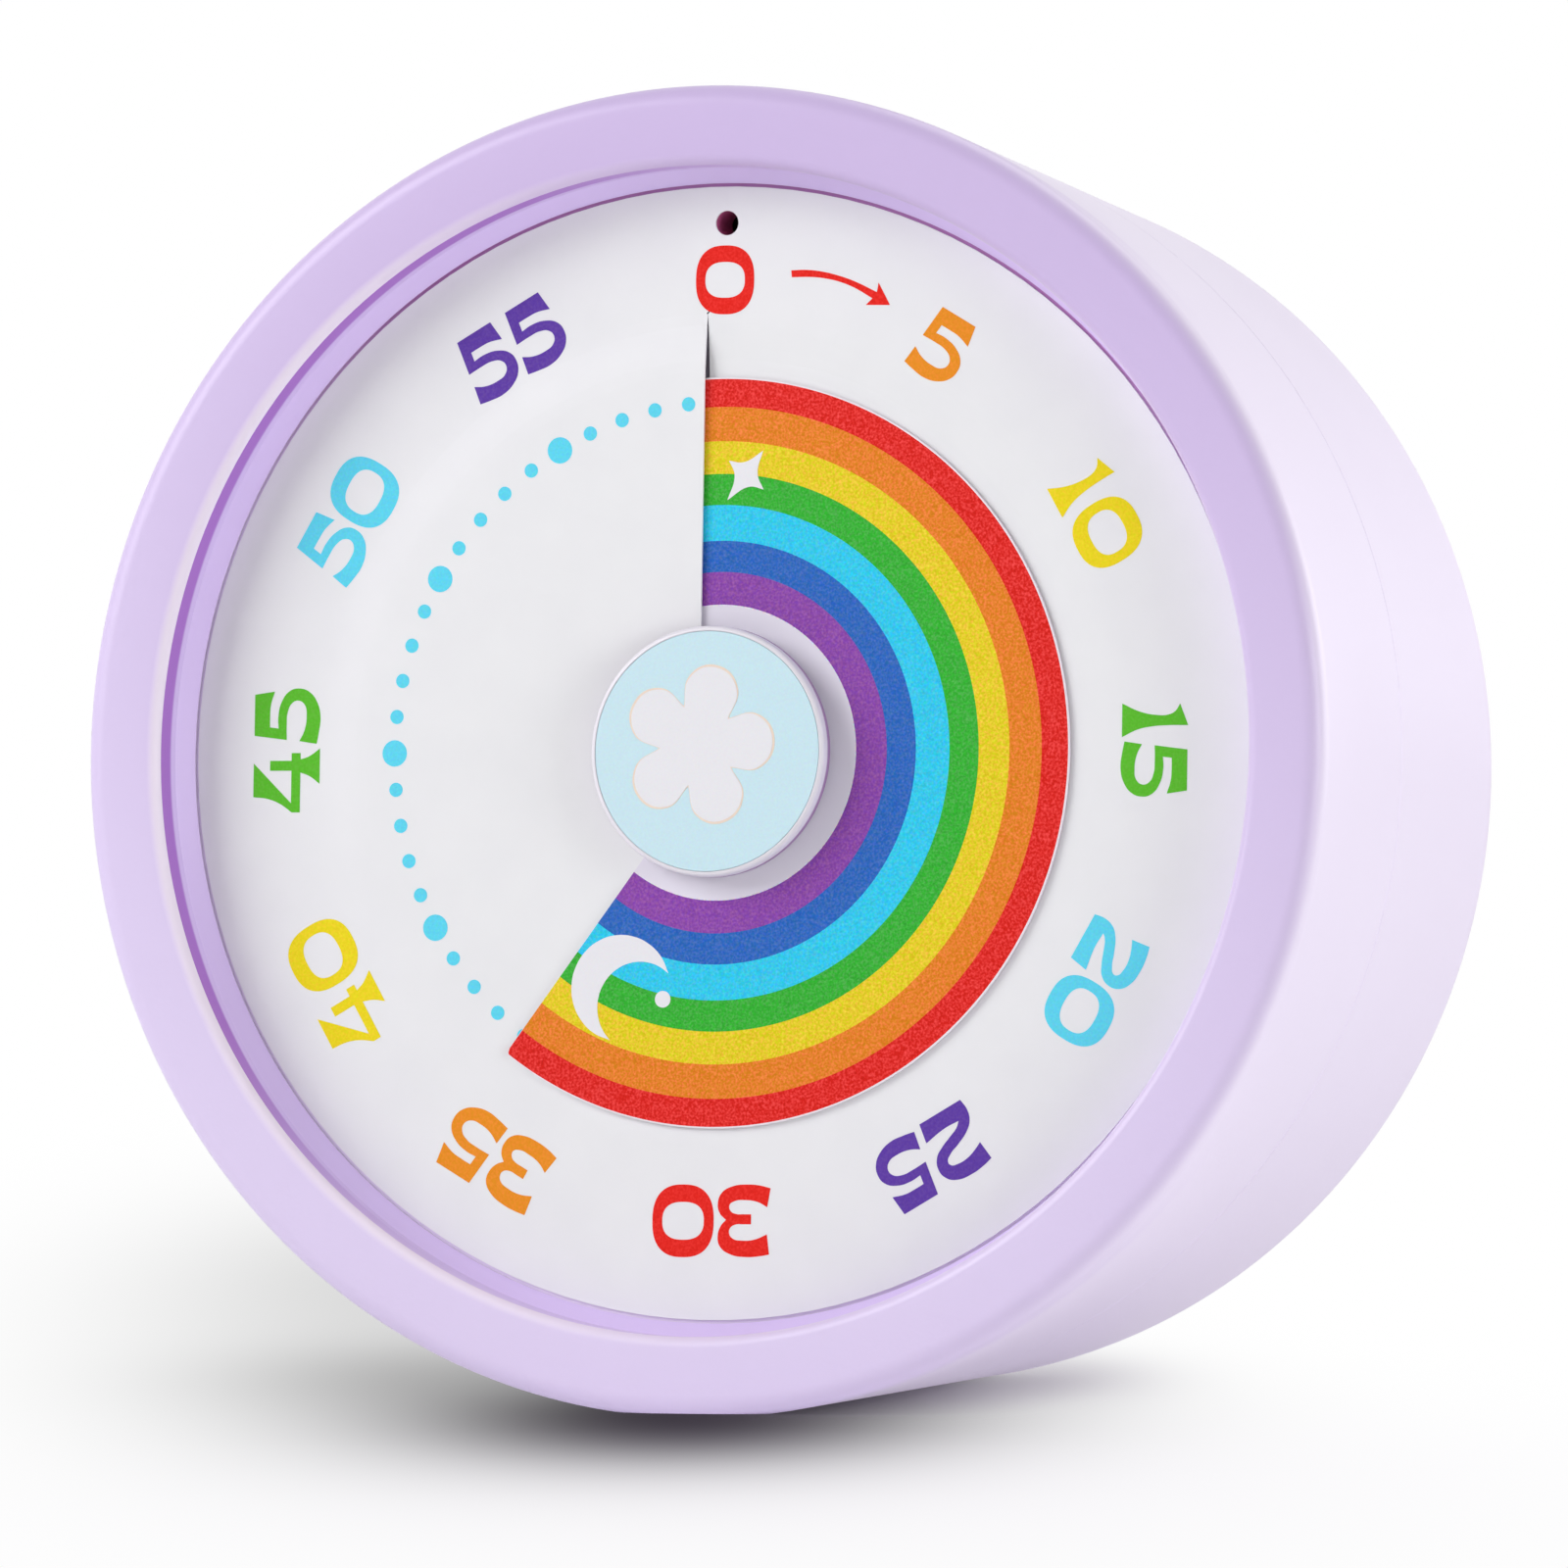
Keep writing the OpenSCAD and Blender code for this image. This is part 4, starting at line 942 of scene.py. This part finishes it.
def flower(radius, waist):
    """Round petals, with a sharp corner where two of them meet."""
    runs, half = [], 180 / PETALS
    for k in range(PETALS):
        middle = 2 * half * k + FLOWER_TURN
        shoulders = [clock(radius * SHOULDER_R, middle + side * SHOULDER_TURN * half)
                     for side in (-1, 1)]
        runs.append([shoulders[0], clock(radius, middle), shoulders[1],
                     clock(waist, middle + half)])
    return runs


def crescent(radius, bite, shift, steps=12):
    """A circle less a smaller one, shifted along x: two smooth arcs between sharp tips."""
    tip = (radius ** 2 - bite ** 2 + shift ** 2) / (2 * shift)
    wide = math.degrees(math.acos(tip / radius))
    narrow = math.degrees(math.acos((tip - shift) / bite))
    return [arc(0, 0, radius, wide, 360 - wide, steps)[1:],
            arc(shift, 0, bite, 360 - narrow, narrow, steps)[1:]]


def knob_top(x, y):
    """The knob's label is level, so its height is the same everywhere."""
    return KNOB_H


SPARKLE = [[(-0.15, 0.77), (1.08, 1.45)], [(0.75, 0.07), (1.15, -0.88)],
           [(0.23, -0.71), (-1.18, -1.5)], [(-0.74, 0.0), (-1.11, 0.87)]]
FLOWER_AT, SPARKLE_AT = (Matrix.Translation(at) for at in ((-0.55, 0.35, 0), (1.48, 16.7, 0)))
MOON_AT = at_clock(15.4, 203) @ Matrix.Rotation(math.radians(160), 4, "Z")
edge = flat_print([flower(4.95, 2.55)], FLOWER_AT, knob_top)
stand(edge, "flower_edge", "knob", (motif_blush,), 0)
petals = flat_print([flower(4.8, 2.45)], FLOWER_AT @ Matrix.Translation((0, 0, INK_T)), knob_top)
stand(petals, "flower", "knob", (motif_white,), 0)
moon = flat_print([crescent(3.2, 2.75, 1.7)], MOON_AT, disc_height)
round_star = flat_print([[[clock(0.5, 45 * k) for k in range(8)]]], at_clock(15.2, 192.5),
                        disc_height)
star = flat_print([SPARKLE], SPARKLE_AT, disc_height)
motifs = joined([moon, round_star, star])
stand(motifs, "disc_motifs", "disc", (motif_white,), 0)

# %% [markdown]
# ## Finishes for the solids that keep their CAD shape
# The films and the works inside already have their true shape. Each only needs its finish.

# %% Finishes for the CAD solids
DRESS = {
    white_film: ["dial_sheet"], rainbow: ["rainbow_disc"],
    knob_white: ["disc_hub", "spindle"], brass: ["spindle_bush", "zero_contact", "switch_leads"],
    steel: ["clutch_spring", "retaining_clip", "stator", "movement_screws", "case_screws",
            "board_screws", "contact_spring", "contact_minus", "contact_plus"],
    acetal: ["centre_wheel", "third_wheel", "second_wheel"], magnet_grey: ["rotor"],
    winding: ["coil"], housing_grey: ["movement_cover", "movement_housing"],
    mask_green: ["circuit_board"], black_moulding: ["control_chip", "buzzer", "switch_body"],
    cell_jacket: ["cell"]}
for material, names in DRESS.items():
    for name in names:
        solid = frame["nodes"][name]
        solid.data.materials.clear()
        solid.data.materials.append(material)
print("dressed", sum(len(n) for n in DRESS.values()), "solids")

# %% [markdown]
# ## Floor, light and camera
# The timer stands on plain white paper, and only the soft shade round its foot tells where the
# paper is. Lamps alone would throw several shadows far over it. The true shadow is therefore kept
# close to the case, where the paper soon turns into even white, and the wide soft shade is laid on
# with a few blurred spots of painted shadow that only the camera sees. One lilac spot in front is
# a painted reflection of the case. For all other rays the paper glows faintly, painted light that
# lifts the underside of the case. Five soft lamps light the timer: the key high on the left, one
# for the side, a broad one behind on the right for the sheen, one above, and a weak fill. The
# world is dim for surfaces and white behind them.

# %% Floor
FACING, PAPER_WHITE, UNDERSIDE_GLOW, SHADOW_ENDS = math.radians(21.8), 0.93, 0.13, (0.005, 0.018)
# painted shadow spots: places and reach in metres, to the right and towards the camera; then depth
# and colour
PAINTED_SPOTS = [(-0.0085, 0.020, 0.019, 0.050, 0.94, (0.012, 0.009, 0.014, 1)),
         (-0.0082, 0.029, 0.011, 0.033, 0.78, (0.012, 0.009, 0.014, 1)),
         (-0.024, -0.022, 0.0145, 0.038, 0.32, (0.012, 0.010, 0.008, 1)),
         (0.0, 0.17, 0.05, 0.10, 0.05, (0.5, 0.5, 0.5, 1)),
         (0.0137, -0.010, 0.006, 0.022, 0.45, (0.25, 0.20, 0.30, 1)),
         (-0.026, -0.12, 0.020, 0.13, 0.31, (0.012, 0.010, 0.008, 1)),
         # a painted lilac reflection of the case, in front of it
         (0.0, 0.085, 0.035, 0.06, 0.10, (0.62, 0.48, 0.74, 1))]
bpy.ops.mesh.primitive_plane_add(size=6, location=(0, 0, 0))
floor = bpy.context.object
floor.name = "floor"
paper, b, shader = finish("White paper")
place = b.add("ShaderNodeTexCoord")
aside = b.add("ShaderNodeMapping", vector_type="POINT")
aside.inputs["Rotation"].default_value = (0, 0, -FACING)
b.join(place.outputs["Object"], aside.inputs["Vector"])
split = b.add("ShaderNodeSeparateXYZ")
b.join(aside.outputs[0], split.inputs[0])
camera_ray = b.add("ShaderNodeLightPath").outputs["Is Camera Ray"]
shade, glow_colour = (PAPER_WHITE, PAPER_WHITE, PAPER_WHITE, 1), (1, 1, 1, 1)
for u, v, reach_u, reach_v, depth, tone in PAINTED_SPOTS:
    across = b.math("DIVIDE", b.math("SUBTRACT", split.outputs["X"], u), reach_u)
    along = b.math("DIVIDE", b.math("ADD", split.outputs["Y"], v), reach_v)
    away = b.math("ADD", b.math("POWER", across, 2.0), b.math("POWER", along, 2.0))
    blur = b.math("POWER", math.e, b.math("MULTIPLY", -1.0, away))
    dark = b.math("MULTIPLY", b.math("MULTIPLY", depth, blur), camera_ray)
    shade, glow_colour = b.blend(dark, shade, tone), b.blend(dark, glow_colour, tone)
b.join(shade, shader.inputs["Base Color"])
shader.inputs["Roughness"].default_value = 0.9
shader.inputs["Specular IOR Level"].default_value = 0.1
glow = b.add("ShaderNodeEmission")
b.join(glow_colour, glow.inputs["Color"])
half_along = b.math("MULTIPLY", split.outputs["Y"], 0.5)
far = b.math("SQRT", b.math("ADD", b.math("POWER", split.outputs["X"], 2.0),
                            b.math("POWER", half_along, 2.0)))
even_white = b.math("MULTIPLY", rise(b, far, *SHADOW_ENDS), camera_ray)
# painted light: the paper glows faintly for all rays but the camera's, which lifts the case's
# underside
painted_underside_light = b.math("MULTIPLY", UNDERSIDE_GLOW, b.math("SUBTRACT", 1.0, camera_ray))
mix = b.add("ShaderNodeMixShader")
b.join(b.math("ADD", even_white, painted_underside_light), mix.inputs[0])
b.join(shader.outputs[0], mix.inputs[1])
b.join(glow.outputs[0], mix.inputs[2])
b.join(mix.outputs[0], paper.node_tree.nodes["Material Output"].inputs["Surface"])
floor.data.materials.append(paper)

# %% World
WORLD_LIGHT, WORLD_SEEN = 0.16, 1.0
world = bpy.data.worlds.new("Studio")
bpy.context.scene.world = world
world.use_nodes = True
b = Bench(world.node_tree)
sky = world.node_tree.nodes["Background"]
sky.inputs["Color"].default_value = (1, 1, 1, 1)
sky.inputs["Strength"].default_value = WORLD_LIGHT
white = b.add("ShaderNodeBackground")
white.inputs["Color"].default_value = (1, 1, 1, 1)
white.inputs["Strength"].default_value = WORLD_SEEN
rays = b.add("ShaderNodeLightPath")
seen = b.math("MAXIMUM", rays.outputs["Is Camera Ray"],
              b.math("MAXIMUM", rays.outputs["Is Glossy Ray"],
                     rays.outputs["Is Transmission Ray"]))
mix = b.add("ShaderNodeMixShader")
b.join(seen, mix.inputs[0])
b.join(sky.outputs[0], mix.inputs[1])
b.join(white.outputs[0], mix.inputs[2])
b.join(mix.outputs[0], world.node_tree.nodes["World Output"].inputs["Surface"])


# %% Lamps
LAMPS_LOOK_AT = Vector((0, 0, 0.04))


def softbox(name, towards, distance, size, power):
    """A square lamp that looks at the middle of the timer."""
    bpy.ops.object.light_add(type="AREA")
    lamp = bpy.context.object
    lamp.name = name
    lamp.data.shape, lamp.data.size, lamp.data.energy = "SQUARE", size, power
    aim = Vector(towards).normalized()
    lamp.location = LAMPS_LOOK_AT + aim * distance
    lamp.rotation_mode = "QUATERNION"
    lamp.rotation_quaternion = aim.to_track_quat("Z", "Y")


softbox("key", (-0.70, -0.53, 0.47), 0.9, 0.55, 5.8)
softbox("side", (0.90, -0.36, 0.10), 0.8, 0.3, 2.1)
softbox("sheen", (0.80, 0.58, 0.04), 1.0, 0.8, 5.4)
softbox("top", (0.1, 0.45, 0.88), 0.8, 0.5, 1.8)
softbox("fill", (0.35, -0.93, 0.0), 0.8, 0.4, 0.5)

# %% Camera
# in the dial's frame: millimetres, and degrees from the dial's axis
LOOK_AT, DISTANCE, AZIMUTH, DIP, ROLL = Vector((4.23, -1.89, 0)), 1176.0, 21.79, -2.42, 0.856
LENS, SENSOR = 450.0, 36.0
azimuth, dip, roll = (math.radians(v) for v in (AZIMUTH, DIP, ROLL))
towards = Vector((math.sin(azimuth) * math.cos(dip), math.sin(dip),
                  math.cos(azimuth) * math.cos(dip)))
level = Vector((0, 1, 0)).cross(towards).normalized()
upright = towards.cross(level)
right = math.cos(roll) * level + math.sin(roll) * upright
up = -math.sin(roll) * level + math.cos(roll) * upright
bpy.ops.object.camera_add()
camera = bpy.context.object
camera.data.lens, camera.data.sensor_width = LENS, SENSOR
camera.data.clip_start, camera.data.clip_end = 0.05, 20.0
axes = [TURNED @ v for v in (right, up, towards)]
spot = STANDING @ (LOOK_AT + towards * DISTANCE)
camera.matrix_world = Matrix.Translation(spot) @ Matrix(axes).transposed().to_4x4()
bpy.context.scene.camera = camera
bpy.context.scene.view_settings.view_transform = "Standard"
print("camera at", [round(v, 4) for v in spot])
